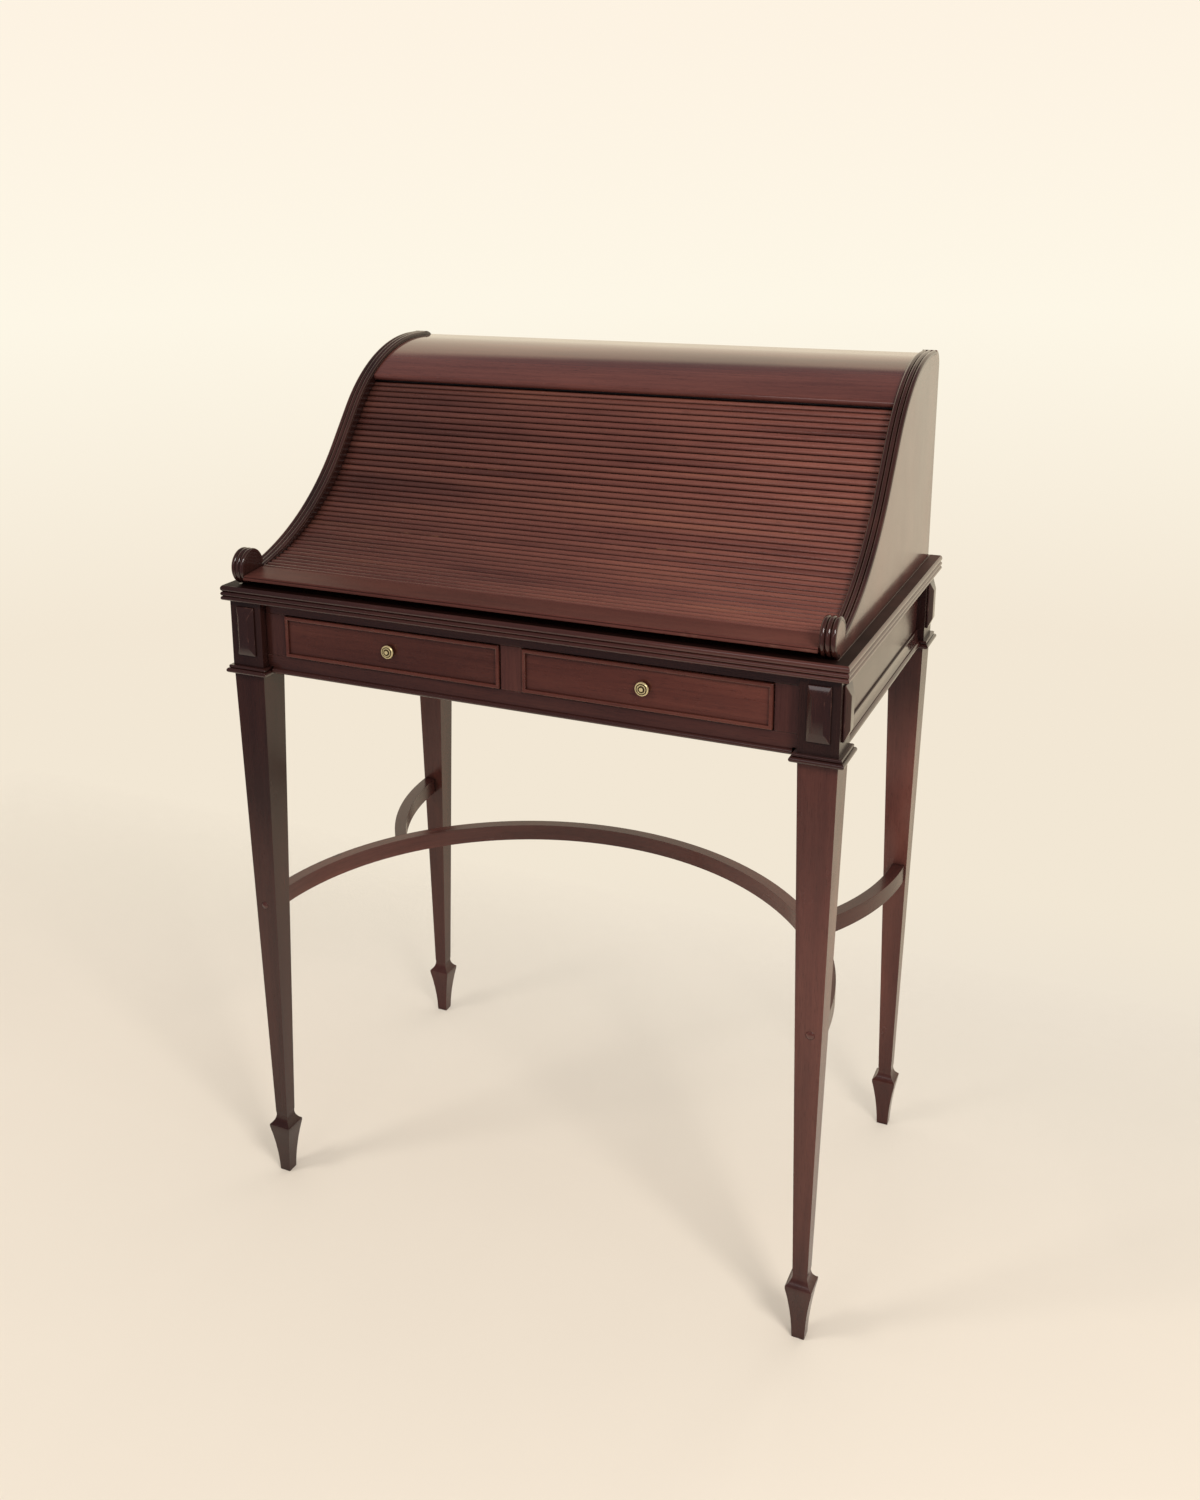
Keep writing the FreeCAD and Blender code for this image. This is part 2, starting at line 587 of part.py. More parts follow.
def apron_moulding():
    """Bead, cove and fillet along the bottom of the right side apron."""
    y0 = -BLOCK_INNER_Y
    inner = APRON_FACE
    outer = APRON_FACE + APRON_MOULDING_RISE
    step = APRON_FACE + APRON_MOULDING_STEP
    bead_top = RAIL_BOTTOM + APRON_MOULDING_BEAD
    bead_middle = RAIL_BOTTOM + APRON_MOULDING_BEAD / 2
    bead_shoulder = APRON_FACE + APRON_MOULDING_RISE / 2
    cove_top = bead_top + APRON_MOULDING_COVE
    top = cove_top + APRON_MOULDING_FILLET
    cove_middle = (step + (bead_shoulder - step) * ROUND_SHARE, bead_top + APRON_MOULDING_COVE * ROUND_SHARE)
    edges = [
        line(Vec(inner, y0, top), Vec(inner, y0, RAIL_BOTTOM)),
        line(Vec(inner, y0, RAIL_BOTTOM), Vec(bead_shoulder, y0, RAIL_BOTTOM)),
        arc(Vec(bead_shoulder, y0, RAIL_BOTTOM), Vec(outer, y0, bead_middle),
            Vec(bead_shoulder, y0, bead_top)),
        arc(Vec(bead_shoulder, y0, bead_top), Vec(cove_middle[0], y0, cove_middle[1]),
            Vec(step, y0, cove_top)),
        line(Vec(step, y0, cove_top), Vec(step, y0, top)),
        line(Vec(step, y0, top), Vec(inner, y0, top)),
    ]
    return clear_of_collars(face(edges).extrude(Vec(0, 2 * BLOCK_INNER_Y, 0)))


def drawer_runners():
    """Boards that carry the drawer sides: one under both inner sides, one at each outer side."""
    low = RUNNER_TOP - RUNNER_HEIGHT
    middle = DRAWER_INNER + RUNNER_BEARING
    centre = box(-middle, middle, FRONT_RAIL_BACK, BACK_APRON_INNER, low, RUNNER_TOP)
    right = box(DRAWER_OUTER - RUNNER_BEARING, APRON_INNER, FRONT_RAIL_BACK, BACK_APRON_INNER,
                low, RUNNER_TOP)
    for rear in (-1, 1):
        y0, y1 = sorted((rear * BLOCK_INNER_Y, rear * BED_BACK))
        right = right.cut(box(BLOCK_INNER_X, BED_SIDE, y0, y1, low, RUNNER_TOP))
    return [centre, right, mirrored_x(right)]


def drawer_guides():
    """Strips on the runners that keep the drawers straight."""
    top = RUNNER_TOP + GUIDE_HEIGHT
    centre_half = DRAWER_INNER - GUIDE_GAP
    centre = box(-centre_half, centre_half, FRONT_RAIL_BACK, BACK_APRON_INNER, RUNNER_TOP, top)
    inner = DRAWER_OUTER + GUIDE_GAP
    right = box(inner, inner + GUIDE_WIDTH, FRONT_RAIL_BACK, BACK_APRON_INNER, RUNNER_TOP, top)
    return [centre, right, mirrored_x(right)]


# Desk bed moulding

def bed_moulding_section(origin, inward):
    """Outline of the edge moulding at a point of the outer edge: three reeds outside, flat inside."""
    def spot(depth, height):
        return origin + inward * depth + Vec(0, 0, height)

    marks = [BED_BOTTOM, BED_BOTTOM + BED_LOW_REED, BED_BOTTOM + BED_LOW_REED + BED_MIDDLE_REED, BED_TOP]
    edges = [
        line(spot(BED_REED_DEPTH, BED_TOP), spot(BED_MOULDING_WIDTH, BED_TOP)),
        line(spot(BED_MOULDING_WIDTH, BED_TOP), spot(BED_MOULDING_WIDTH, BED_BOTTOM)),
        line(spot(BED_MOULDING_WIDTH, BED_BOTTOM), spot(BED_REED_DEPTH, BED_BOTTOM)),
    ]
    for low, high in zip(marks[:-1], marks[1:]):
        edges.append(arc(spot(BED_REED_DEPTH, low), spot(0, (low + high) / 2), spot(BED_REED_DEPTH, high)))
    return face(edges)


def mitre_mask(points):
    """Upright prism over a plan outline, as tall as the bed."""
    return polygon([Vec(x, y, BED_BOTTOM) for x, y in points]).extrude(Vec(0, 0, BED_THICKNESS))


def front_bed_moulding():
    bar = bed_moulding_section(Vec(-BED_SIDE, BED_FRONT, 0), Vec(0, 1, 0)).extrude(Vec(BED_WIDTH, 0, 0))
    inner_y = BED_FRONT + BED_MOULDING_WIDTH
    inner_x = BED_SIDE - BED_MOULDING_WIDTH
    outline = [(-BED_SIDE, BED_FRONT), (BED_SIDE, BED_FRONT), (inner_x, inner_y), (-inner_x, inner_y)]
    return bar.common(mitre_mask(outline))


def right_bed_moulding():
    bar = bed_moulding_section(Vec(BED_SIDE, BED_FRONT, 0), Vec(-1, 0, 0)).extrude(Vec(0, BED_DEPTH, 0))
    inner_y = BED_FRONT + BED_MOULDING_WIDTH
    inner_x = BED_SIDE - BED_MOULDING_WIDTH
    outline = [(BED_SIDE, BED_FRONT), (BED_SIDE, BED_BACK), (inner_x, BED_BACK), (inner_x, inner_y)]
    return bar.common(mitre_mask(outline))


# Drawers, made for the right side

def drawer_front():
    board = box(DRAWER_INNER, DRAWER_OUTER, FRONT_FACE, DRAWER_FRONT_BACK, DRAWER_BOTTOM, DRAWER_TOP)
    start = Vec(KNOB_X, DRAWER_FRONT_BACK, KNOB_Z)
    length = DRAWER_FRONT_THICKNESS
    return board.cut(Part.makeCylinder(KNOB_SCREW_RADIUS + SCREW_FIT, length, start, Vec(0, -1, 0)))


def drawer_bead():
    """Raised bead round the edge of the drawer front."""
    face_y = FRONT_FACE - COCK_BEAD_RISE
    frame = box(DRAWER_INNER, DRAWER_OUTER, face_y, FRONT_FACE, DRAWER_BOTTOM, DRAWER_TOP)
    frame = frame.cut(box(DRAWER_INNER + COCK_BEAD_WIDTH, DRAWER_OUTER - COCK_BEAD_WIDTH, face_y, FRONT_FACE,
                          DRAWER_BOTTOM + COCK_BEAD_WIDTH, DRAWER_TOP - COCK_BEAD_WIDTH))
    proud = [edge for edge in frame.Edges if edge.BoundBox.YMax < face_y + COCK_BEAD_RISE / 2]
    return frame.makeFillet(COCK_BEAD_ROUNDING, proud)


def drawer_sides():
    top = DRAWER_BOTTOM + DRAWER_SIDE_HEIGHT
    inner = box(DRAWER_INNER, DRAWER_INNER + DRAWER_SIDE_THICKNESS, DRAWER_FRONT_BACK, DRAWER_BACK,
                DRAWER_BOTTOM, top)
    outer = box(DRAWER_OUTER - DRAWER_SIDE_THICKNESS, DRAWER_OUTER, DRAWER_FRONT_BACK, DRAWER_BACK,
                DRAWER_BOTTOM, top)
    return [inner, outer]


def drawer_back():
    return box(DRAWER_INNER + DRAWER_SIDE_THICKNESS, DRAWER_OUTER - DRAWER_SIDE_THICKNESS,
               DRAWER_BACK - DRAWER_BACK_THICKNESS, DRAWER_BACK,
               DRAWER_BOTTOM, DRAWER_BOTTOM + DRAWER_SIDE_HEIGHT)


def drawer_bottom():
    low = DRAWER_BOTTOM + DRAWER_BOTTOM_RISE
    return box(DRAWER_INNER + DRAWER_SIDE_THICKNESS, DRAWER_OUTER - DRAWER_SIDE_THICKNESS,
               DRAWER_FRONT_BACK, DRAWER_BACK - DRAWER_BACK_THICKNESS, low, low + DRAWER_BOTTOM_THICKNESS)


def drawer_knob():
    """Turned knob: rose, neck, and a flat head with a rim, a ring and a button, parted by grooves."""
    neck = KNOB_ROSE_THICKNESS + KNOB_NECK_LENGTH
    head = neck + KNOB_HEAD_THICKNESS
    rim = neck + KNOB_HEAD_THICKNESS / 2
    rim_round = KNOB_RADIUS - KNOB_RIM_WIDTH / 2
    rim_inner = KNOB_RADIUS - KNOB_RIM_WIDTH
    groove = head - KNOB_GROOVE_DEPTH
    ring = head + KNOB_RING_RISE
    ring_inner = KNOB_RING_RADIUS - KNOB_RING_WIDTH
    button = head + KNOB_BUTTON_RISE

    def spot(radius, height):
        return Vec(radius, 0, height)

    edges = [
        line(spot(0, 0), spot(KNOB_ROSE_RADIUS, 0)),
        line(spot(KNOB_ROSE_RADIUS, 0), spot(KNOB_ROSE_RADIUS, KNOB_ROSE_THICKNESS)),
        line(spot(KNOB_ROSE_RADIUS, KNOB_ROSE_THICKNESS), spot(KNOB_NECK_RADIUS, KNOB_ROSE_THICKNESS)),
        line(spot(KNOB_NECK_RADIUS, KNOB_ROSE_THICKNESS), spot(KNOB_NECK_RADIUS, neck)),
        line(spot(KNOB_NECK_RADIUS, neck), spot(rim_round, neck)),
        arc(spot(rim_round, neck), spot(KNOB_RADIUS, rim), spot(rim_round, head)),
        line(spot(rim_round, head), spot(rim_inner, head)),
        line(spot(rim_inner, head), spot(rim_inner, groove)),
        line(spot(rim_inner, groove), spot(KNOB_RING_RADIUS, groove)),
        line(spot(KNOB_RING_RADIUS, groove), spot(KNOB_RING_RADIUS, ring)),
        line(spot(KNOB_RING_RADIUS, ring), spot(ring_inner, ring)),
        line(spot(ring_inner, ring), spot(ring_inner, groove)),
        line(spot(ring_inner, groove), spot(KNOB_BUTTON_RADIUS, groove)),
        line(spot(KNOB_BUTTON_RADIUS, groove), spot(KNOB_BUTTON_RADIUS, button)),
        line(spot(KNOB_BUTTON_RADIUS, button), spot(0, button)),
        line(spot(0, button), spot(0, 0)),
    ]
    knob = face(edges).revolve(Vec(0, 0, 0), Vec(0, 0, 1), 360)
    knob = knob.cut(Part.makeCylinder(KNOB_SCREW_RADIUS + SCREW_FIT, KNOB_SCREW_DEPTH + SCREW_FIT))
    knob.rotate(Vec(0, 0, 0), Vec(1, 0, 0), 90)
    knob.translate(Vec(KNOB_X, FRONT_FACE, KNOB_Z))
    return knob


def knob_screw():
    start = Vec(KNOB_X, DRAWER_FRONT_BACK, KNOB_Z)
    shank_length = DRAWER_FRONT_THICKNESS + KNOB_SCREW_DEPTH
    shank = Part.makeCylinder(KNOB_SCREW_RADIUS, shank_length, start, Vec(0, -1, 0))
    head = Part.makeCylinder(KNOB_SCREW_HEAD_RADIUS, KNOB_SCREW_HEAD_HEIGHT, start, Vec(0, 1, 0))
    return shank.fuse(head).removeSplitter()


# Upper case, made for the right side where there are two

def side_panel():
    """Right side panel with its tambour groove; the edge strip lies on its front and top edge."""
    x = PANEL_INNER_X
    rim = -EDGE_STRIP_THICKNESS
    edge_path = panel_edge_path()
    strip_top = PANEL_TOP - EDGE_STRIP_THICKNESS

    def spot(y, z):
        return Vec(x, y, z)

    corner = PANEL_CORNER_RADIUS
    corner_middle = corner * ROUND_SHARE
    scroll_foot = SCROLL_Z - SCROLL_CORE
    scroll_diagonal = SCROLL_CORE * (1 - ROUND_SHARE)
    notch = stretch_point(edge_path[0], 0.0, rim)[0]
    edges = [
        line(spot(SCROLL_Y, BED_TOP), spot(PANEL_BACK, BED_TOP)),
        line(spot(PANEL_BACK, BED_TOP), spot(PANEL_BACK, PANEL_TOP - corner)),
        arc(spot(PANEL_BACK, PANEL_TOP - corner), spot(PANEL_BACK - corner_middle, PANEL_TOP - corner_middle),
            spot(PANEL_BACK - corner, PANEL_TOP)),
        line(spot(STRIP_END, PANEL_TOP), spot(STRIP_END, strip_top)),
        line(spot(notch[0], notch[1]), spot(SCROLL_Y + SCROLL_CORE, SCROLL_Z)),
        arc(spot(SCROLL_Y + SCROLL_CORE, SCROLL_Z), spot(SCROLL_Y, SCROLL_Z + SCROLL_CORE),
            spot(SCROLL_Y - SCROLL_CORE, SCROLL_Z)),
        arc(spot(SCROLL_Y - SCROLL_CORE, SCROLL_Z),
            spot(SCROLL_Y - scroll_diagonal, SCROLL_Z - scroll_diagonal),
            spot(SCROLL_Y, scroll_foot)),
        line(spot(SCROLL_Y, scroll_foot), spot(SCROLL_Y, BED_TOP)),
    ]
    edges += path_edges(edge_path, x, rim)
    board = face(Part.__sortEdges__(edges)).extrude(Vec(PANEL_THICKNESS, 0, 0))
    return board.cut(tambour_groove())


def tambour_groove():
    """Groove in the right panel for the slat tongues; it runs out where the first slats lie free."""
    track = tambour_path()
    begin = (FREE_SLATS - 1) * SLAT_PITCH + SLAT_PITCH / 2
    outer = SLAT_HEIGHT + GROOVE_CLEARANCE
    inner = -CANVAS_THICKNESS - GROOVE_CLEARANCE
    x = PANEL_INNER_X
    outer_edges = path_edges(track, x, outer, begin)
    inner_edges = path_edges(track, x, inner, begin)
    length = path_length(track)
    closing = [
        line(in_side_plane(x, path_point(track, begin, inner)[0]),
             in_side_plane(x, path_point(track, begin, outer)[0])),
        line(in_side_plane(x, path_point(track, length, inner)[0]),
             in_side_plane(x, path_point(track, length, outer)[0])),
    ]
    outline = face(Part.__sortEdges__(outer_edges + inner_edges + closing))
    return outline.extrude(Vec(GROOVE_DEPTH, 0, 0))


def reed_section(origin, outward):
    """Outline of the reeded strip, as wide as the panel, on a point of its inner face."""
    width = PANEL_THICKNESS / EDGE_REED_COUNT
    flat = EDGE_STRIP_THICKNESS - EDGE_REED_RISE

    def spot(across, rise):
        return origin + Vec(across, 0, 0) + outward * rise

    edges = [
        line(spot(0, flat), spot(0, 0)),
        line(spot(0, 0), spot(PANEL_THICKNESS, 0)),
        line(spot(PANEL_THICKNESS, 0), spot(PANEL_THICKNESS, flat)),
    ]
    for reed in range(EDGE_REED_COUNT):
        left = reed * width
        edges.append(arc(spot(left, flat), spot(left + width / 2, EDGE_STRIP_THICKNESS),
                         spot(left + width, flat)))
    return face(Part.__sortEdges__(edges))


def edge_strip():
    """Reeded strip along the front and top edge of the right panel."""
    pieces = []
    for stretch in panel_edge_path():
        base, slope = stretch_point(stretch, 0.0, -EDGE_STRIP_THICKNESS)
        outward = Vec(0, -math.sin(slope), math.cos(slope))
        section = reed_section(in_side_plane(PANEL_INNER_X, base), outward)
        if "centre" in stretch:
            turn = math.degrees(stretch["end"] - stretch["start"])
            pieces.append(section.revolve(in_side_plane(0, stretch["centre"]), Vec(1, 0, 0), turn))
        else:
            pieces.append(section.extrude(Vec(0, math.cos(slope), math.sin(slope)) * stretch["length"]))
    return pieces[0].multiFuse(pieces[1:]).removeSplitter()


def scroll_rim():
    """Reeded rim of the right scroll, from the notch over the top and the front down to the bed."""
    section = reed_section(Vec(PANEL_INNER_X, SCROLL_Y + SCROLL_CORE, SCROLL_Z), Vec(0, 1, 0))
    return section.revolve(Vec(0, SCROLL_Y, SCROLL_Z), Vec(1, 0, 0), 270)


def top_board():
    """Top with its curved front, which ends in a rounded nosing over the tambour slot."""
    x = -PANEL_INNER_X
    outer_radius = TOP_FACE - CREST_CENTRE[1]
    inner_radius = TOP_UNDERSIDE - CREST_CENTRE[1]
    outer = arc_stretch(CREST_CENTRE, outer_radius, NOSING_SLOPE, 0.0)
    inner = arc_stretch(CREST_CENTRE, inner_radius, NOSING_SLOPE, 0.0)
    middle = arc_stretch(CREST_CENTRE, (outer_radius + inner_radius) / 2, NOSING_SLOPE, 0.0)
    nose = (stretch_point(middle, 0.0)[0][0] - TOP_THICKNESS / 2 * math.cos(NOSING_SLOPE),
            stretch_point(middle, 0.0)[0][1] - TOP_THICKNESS / 2 * math.sin(NOSING_SLOPE))

    def spot(point):
        return in_side_plane(x, point)

    edges = path_edges([outer], x, 0.0) + path_edges([inner], x, 0.0) + [
        arc(spot(stretch_point(outer, 0.0)[0]), spot(nose), spot(stretch_point(inner, 0.0)[0])),
        line(spot((CREST_CENTRE[0], TOP_FACE)), spot((BACK_PANEL_BACK, TOP_FACE))),
        line(spot((BACK_PANEL_BACK, TOP_FACE)), spot((BACK_PANEL_BACK, TOP_UNDERSIDE))),
        line(spot((BACK_PANEL_BACK, TOP_UNDERSIDE)), spot((CREST_CENTRE[0], TOP_UNDERSIDE))),
    ]
    return face(Part.__sortEdges__(edges)).extrude(Vec(2 * PANEL_INNER_X, 0, 0))


def pigeonhole_dividers():
    spacing = 2 * PANEL_INNER_X / (DIVIDER_COUNT + 1)
    front = PIGEONHOLE_FRONT + PIGEONHOLE_TOP_OVERHANG
    dividers = []
    for number in range(DIVIDER_COUNT):
        middle = -PANEL_INNER_X + spacing * (number + 1)
        dividers.append(box(middle - DIVIDER_THICKNESS / 2, middle + DIVIDER_THICKNESS / 2,
                            front, FALSE_BACK_FRONT, BED_TOP, PIGEONHOLE_TOP))
    return dividers


# Tambour

def tambour_slat(track, number):
    """One slat, flat on the canvas and round on its face; past the free slats its ends are tongues."""
    first = path_point(track, number * SLAT_PITCH)[0]
    last = path_point(track, (number + 1) * SLAT_PITCH)[0]
    chord = math.hypot(last[0] - first[0], last[1] - first[1])
    along = ((last[0] - first[0]) / chord, (last[1] - first[1]) / chord)
    reach = PANEL_INNER_X - SIDE_CLEARANCE if number < FREE_SLATS else PANEL_INNER_X + TONGUE_LENGTH

    def spot(distance, rise):
        y = first[0] + distance * along[0] - rise * along[1]
        z = first[1] + distance * along[1] + rise * along[0]
        return Vec(-reach, y, z)

    low = SLAT_GAP / 2
    high = chord - SLAT_GAP / 2
    edges = [
        line(spot(low, SLAT_SHOULDER), spot(low, 0)),
        line(spot(low, 0), spot(high, 0)),
        line(spot(high, 0), spot(high, SLAT_SHOULDER)),
        arc(spot(high, SLAT_SHOULDER), spot(chord / 2, SLAT_HEIGHT), spot(low, SLAT_SHOULDER)),
    ]
    return face(edges).extrude(Vec(2 * reach, 0, 0))


def toward(start, end, distance):
    """The point that lies a distance from start on the line to end."""
    share = distance / math.hypot(end[0] - start[0], end[1] - start[1])
    return (start[0] + (end[0] - start[0]) * share, start[1] + (end[1] - start[1]) * share)


def tambour_canvas(track, first, last):
    """Strip of canvas behind the slats from number first up to number last."""
    reach = PANEL_INNER_X - SIDE_CLEARANCE
    sides = []
    for outward in (0.0, -CANVAS_THICKNESS):
        points = [path_point(track, number * SLAT_PITCH, outward)[0] for number in range(first, last + 1)]
        ends = toward(points[0], points[1], SECTION_GAP / 2), toward(points[-1], points[-2], SECTION_GAP / 2)
        sides.append([ends[0]] + points[1:-1] + [ends[1]])
    outline = polygon([in_side_plane(-reach, point) for point in sides[0] + sides[1][::-1]])
    return outline.extrude(Vec(2 * reach, 0, 0))


def lead_rail(track):
    """First bar of the tambour, whose lip is the finger grip, and the strip glued under it over the bed."""
    reach = PANEL_INNER_X - SIDE_CLEARANCE
    seam, slope = path_point(track, 0.0, SLAT_HEIGHT)
    foot_z = BED_TOP + RAIL_BED_GAP
    drop = (seam[1] - foot_z) * math.tan(slope)

    def spot(ahead, below):
        y = seam[0] - ahead * math.cos(slope) + below * math.sin(slope)
        z = seam[1] - ahead * math.sin(slope) - below * math.cos(slope)
        return Vec(-reach, y, z)

    def at_foot(y):
        return Vec(-reach, y, foot_z)

    nose = RAIL_LENGTH - RAIL_LIP / 2
    bar = face([
        line(spot(0, 0), spot(nose, 0)),
        arc(spot(nose, 0), spot(RAIL_LENGTH, RAIL_LIP / 2), spot(nose, RAIL_LIP)),
        line(spot(nose, RAIL_LIP), spot(0, RAIL_LIP)),
        line(spot(0, RAIL_LIP), spot(0, 0)),
    ])
    strip_front = spot(RAIL_FOOT_LENGTH, RAIL_LIP)
    strip_back = spot(0, RAIL_LIP)
    strip = polygon([strip_back, strip_front, at_foot(strip_front.y), at_foot(seam[0] + drop)])
    return [profile.extrude(Vec(2 * reach, 0, 0)) for profile in (bar, strip)]


# All pieces, one file for each node

def export_base():
    legs = {}
    for rear_name, rear in (("front", -1), ("back", 1)):
        for side_name, side in (("left", -1), ("right", 1)):
            legs[side, rear] = make_leg(side, rear)
            export(rear_name + "_" + side_name + "_leg", legs[side, rear])
    corners = list(legs)
    export("leg_collars", *[make_collar(side, rear) for side, rear in corners])
    export("corner_jewels", *make_jewels())

    front_bar = half_ring(-1)
    rear_bar = half_ring(1)
    for side in (-1, 1):
        front_bar = front_bar.cut(legs[side, -1]).cut(leg_screw_hole(side, -1))
        rear_bar = rear_bar.cut(legs[side, 1]).cut(leg_screw_hole(side, 1))
    front_reach = STRETCHER_RADIUS + STRETCHER_WIDTH / 2
    front_disc = Part.makeCylinder(front_reach, STRETCHER_HEIGHT, Vec(0, -STRETCHER_CENTRE, STRETCHER_BOTTOM))
    rear_arcs = sorted(rear_bar.cut(front_disc).Solids, key=lambda solid: solid.BoundBox.Center.x)
    export("front_stretcher", front_bar.Solids[0])
    export("left_rear_stretcher", rear_arcs[0])
    export("right_rear_stretcher", rear_arcs[-1])
    export("stretcher_plugs", *[stretcher_plug(side, rear) for side, rear in corners])
    export("stretcher_screws", *[leg_screw(side, rear) for side, rear in corners])


def export_frieze():
    def front_board(x0, x1, z0, z1):
        return box(x0, x1, FRONT_FACE, FRONT_RAIL_BACK, z0, z1)

    export("front_top_rail", front_board(-BLOCK_INNER_X, BLOCK_INNER_X, DRAWER_OPENING_TOP, BED_BOTTOM))
    bottom_rail = front_board(-BLOCK_INNER_X, BLOCK_INNER_X, RAIL_BOTTOM, DRAWER_OPENING_BOTTOM)
    export("front_bottom_rail", clear_of_collars(bottom_rail))
    export("front_centre_stile", front_board(-DRAWER_OPENING_INNER, DRAWER_OPENING_INNER,
                                             DRAWER_OPENING_BOTTOM, DRAWER_OPENING_TOP))
    right_stile = front_board(DRAWER_OPENING_OUTER, BLOCK_INNER_X, DRAWER_OPENING_BOTTOM, DRAWER_OPENING_TOP)
    export("front_end_stiles", mirrored_x(right_stile), right_stile)
    front_bead = round_strip(-BLOCK_INNER_X, BLOCK_INNER_X, FRONT_FACE, FRONT_BEAD_RISE,
                             RAIL_BOTTOM, RAIL_BOTTOM + FRONT_BEAD_HEIGHT)
    export("front_bead", clear_of_collars(front_bead))
    back_apron = box(-BLOCK_INNER_X, BLOCK_INNER_X, BACK_APRON_INNER, BACK_APRON_FACE,
                     RAIL_BOTTOM, BED_BOTTOM)
    export("back_apron", clear_of_collars(back_apron))
    right_apron = box(APRON_INNER, APRON_FACE, -BLOCK_INNER_Y, BLOCK_INNER_Y, RAIL_BOTTOM, BED_BOTTOM)
    right_apron = clear_of_collars(right_apron)
    export("right_apron", right_apron)
    export("left_apron", mirrored_x(right_apron))
    moulding = apron_moulding()
    export("apron_mouldings", mirrored_x(moulding), moulding)
    export("drawer_runners", *drawer_runners())
    export("drawer_guides", *drawer_guides())


def export_bed():
    side = BED_SIDE - BED_MOULDING_WIDTH
    front = BED_FRONT + BED_MOULDING_WIDTH
    export("desk_bed", box(-side, side, front, BED_BACK, BED_BOTTOM, BED_TOP))
    moulding = right_bed_moulding()
    export("bed_moulding", front_bed_moulding(), mirrored_x(moulding), moulding)


def export_drawers():
    for name, placed in (("right", lambda shape: shape), ("left", mirrored_x)):
        export(name + "_drawer_front", placed(drawer_front()))
        export(name + "_drawer_bead", placed(drawer_bead()))
        export(name + "_drawer_sides", *[placed(side) for side in drawer_sides()])
        export(name + "_drawer_back", placed(drawer_back()))
        export(name + "_drawer_bottom", placed(drawer_bottom()))
        export(name + "_drawer_knob", placed(drawer_knob()))
        export(name + "_knob_screw", placed(knob_screw()))


def export_upper_case():
    panel = side_panel()
    trims = [edge_strip(), scroll_rim()]
    export("right_side_panel", panel)
    export("left_side_panel", mirrored_x(panel))
    export("right_edge_moulding", *trims)
    export("left_edge_moulding", *[mirrored_x(trim) for trim in trims])
    export("top_board", top_board())
    width = PANEL_INNER_X
    export("back_panel", box(-width, width, BACK_PANEL_FRONT, BACK_PANEL_BACK, BED_TOP, TOP_UNDERSIDE))
    export("false_back", box(-width, width, FALSE_BACK_FRONT, FALSE_BACK_REAR,
                             BED_TOP, BED_TOP + FALSE_BACK_HEIGHT))
    export("pigeonhole_top", box(-width, width, PIGEONHOLE_FRONT, FALSE_BACK_FRONT,
                                 PIGEONHOLE_TOP, PIGEONHOLE_TOP + PIGEONHOLE_TOP_THICKNESS))
    export("pigeonhole_dividers", *pigeonhole_dividers())


def export_tambour():
    track = tambour_path()
    export("tambour_lead_rail", *lead_rail(track))
    count = slat_count()
    for order, first in enumerate(range(0, count, SECTION_SLATS)):
        last = min(first + SECTION_SLATS, count)
        slats = [tambour_slat(track, number) for number in range(first, last)]
        export("tambour_section_%02d" % (order + 1), tambour_canvas(track, first, last), *slats)


os.makedirs("parts", exist_ok=True)
export_base()
export_frieze()
export_bed()
export_drawers()
export_upper_case()
export_tambour()
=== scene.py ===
import json
import math
import random

import bmesh
import bpy
from mathutils import Matrix, Vector

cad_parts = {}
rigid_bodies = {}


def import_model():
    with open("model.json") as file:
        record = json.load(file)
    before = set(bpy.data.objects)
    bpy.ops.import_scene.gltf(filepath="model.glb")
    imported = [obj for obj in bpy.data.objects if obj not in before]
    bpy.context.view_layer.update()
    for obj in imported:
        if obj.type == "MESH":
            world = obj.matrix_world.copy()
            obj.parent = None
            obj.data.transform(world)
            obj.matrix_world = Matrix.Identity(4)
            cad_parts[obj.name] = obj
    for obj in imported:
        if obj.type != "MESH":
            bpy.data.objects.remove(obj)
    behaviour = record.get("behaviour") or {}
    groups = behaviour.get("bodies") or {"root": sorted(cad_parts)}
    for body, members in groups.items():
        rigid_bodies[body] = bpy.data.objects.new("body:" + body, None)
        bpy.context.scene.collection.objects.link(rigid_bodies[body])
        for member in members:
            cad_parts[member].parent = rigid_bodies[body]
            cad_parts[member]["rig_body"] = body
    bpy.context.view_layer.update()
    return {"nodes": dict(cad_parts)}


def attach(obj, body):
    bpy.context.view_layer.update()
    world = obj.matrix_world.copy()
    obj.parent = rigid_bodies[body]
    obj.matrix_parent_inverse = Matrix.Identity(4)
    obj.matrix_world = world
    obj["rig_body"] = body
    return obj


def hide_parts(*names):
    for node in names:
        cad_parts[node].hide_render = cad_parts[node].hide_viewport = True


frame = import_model()
scene = bpy.context.scene
nodes = frame["nodes"]

MM = 0.001
WELD = 0.002 * MM
FLAT_ANGLE = math.radians(0.4)
SHARP_ANGLE = math.radians(38)


# Node materials

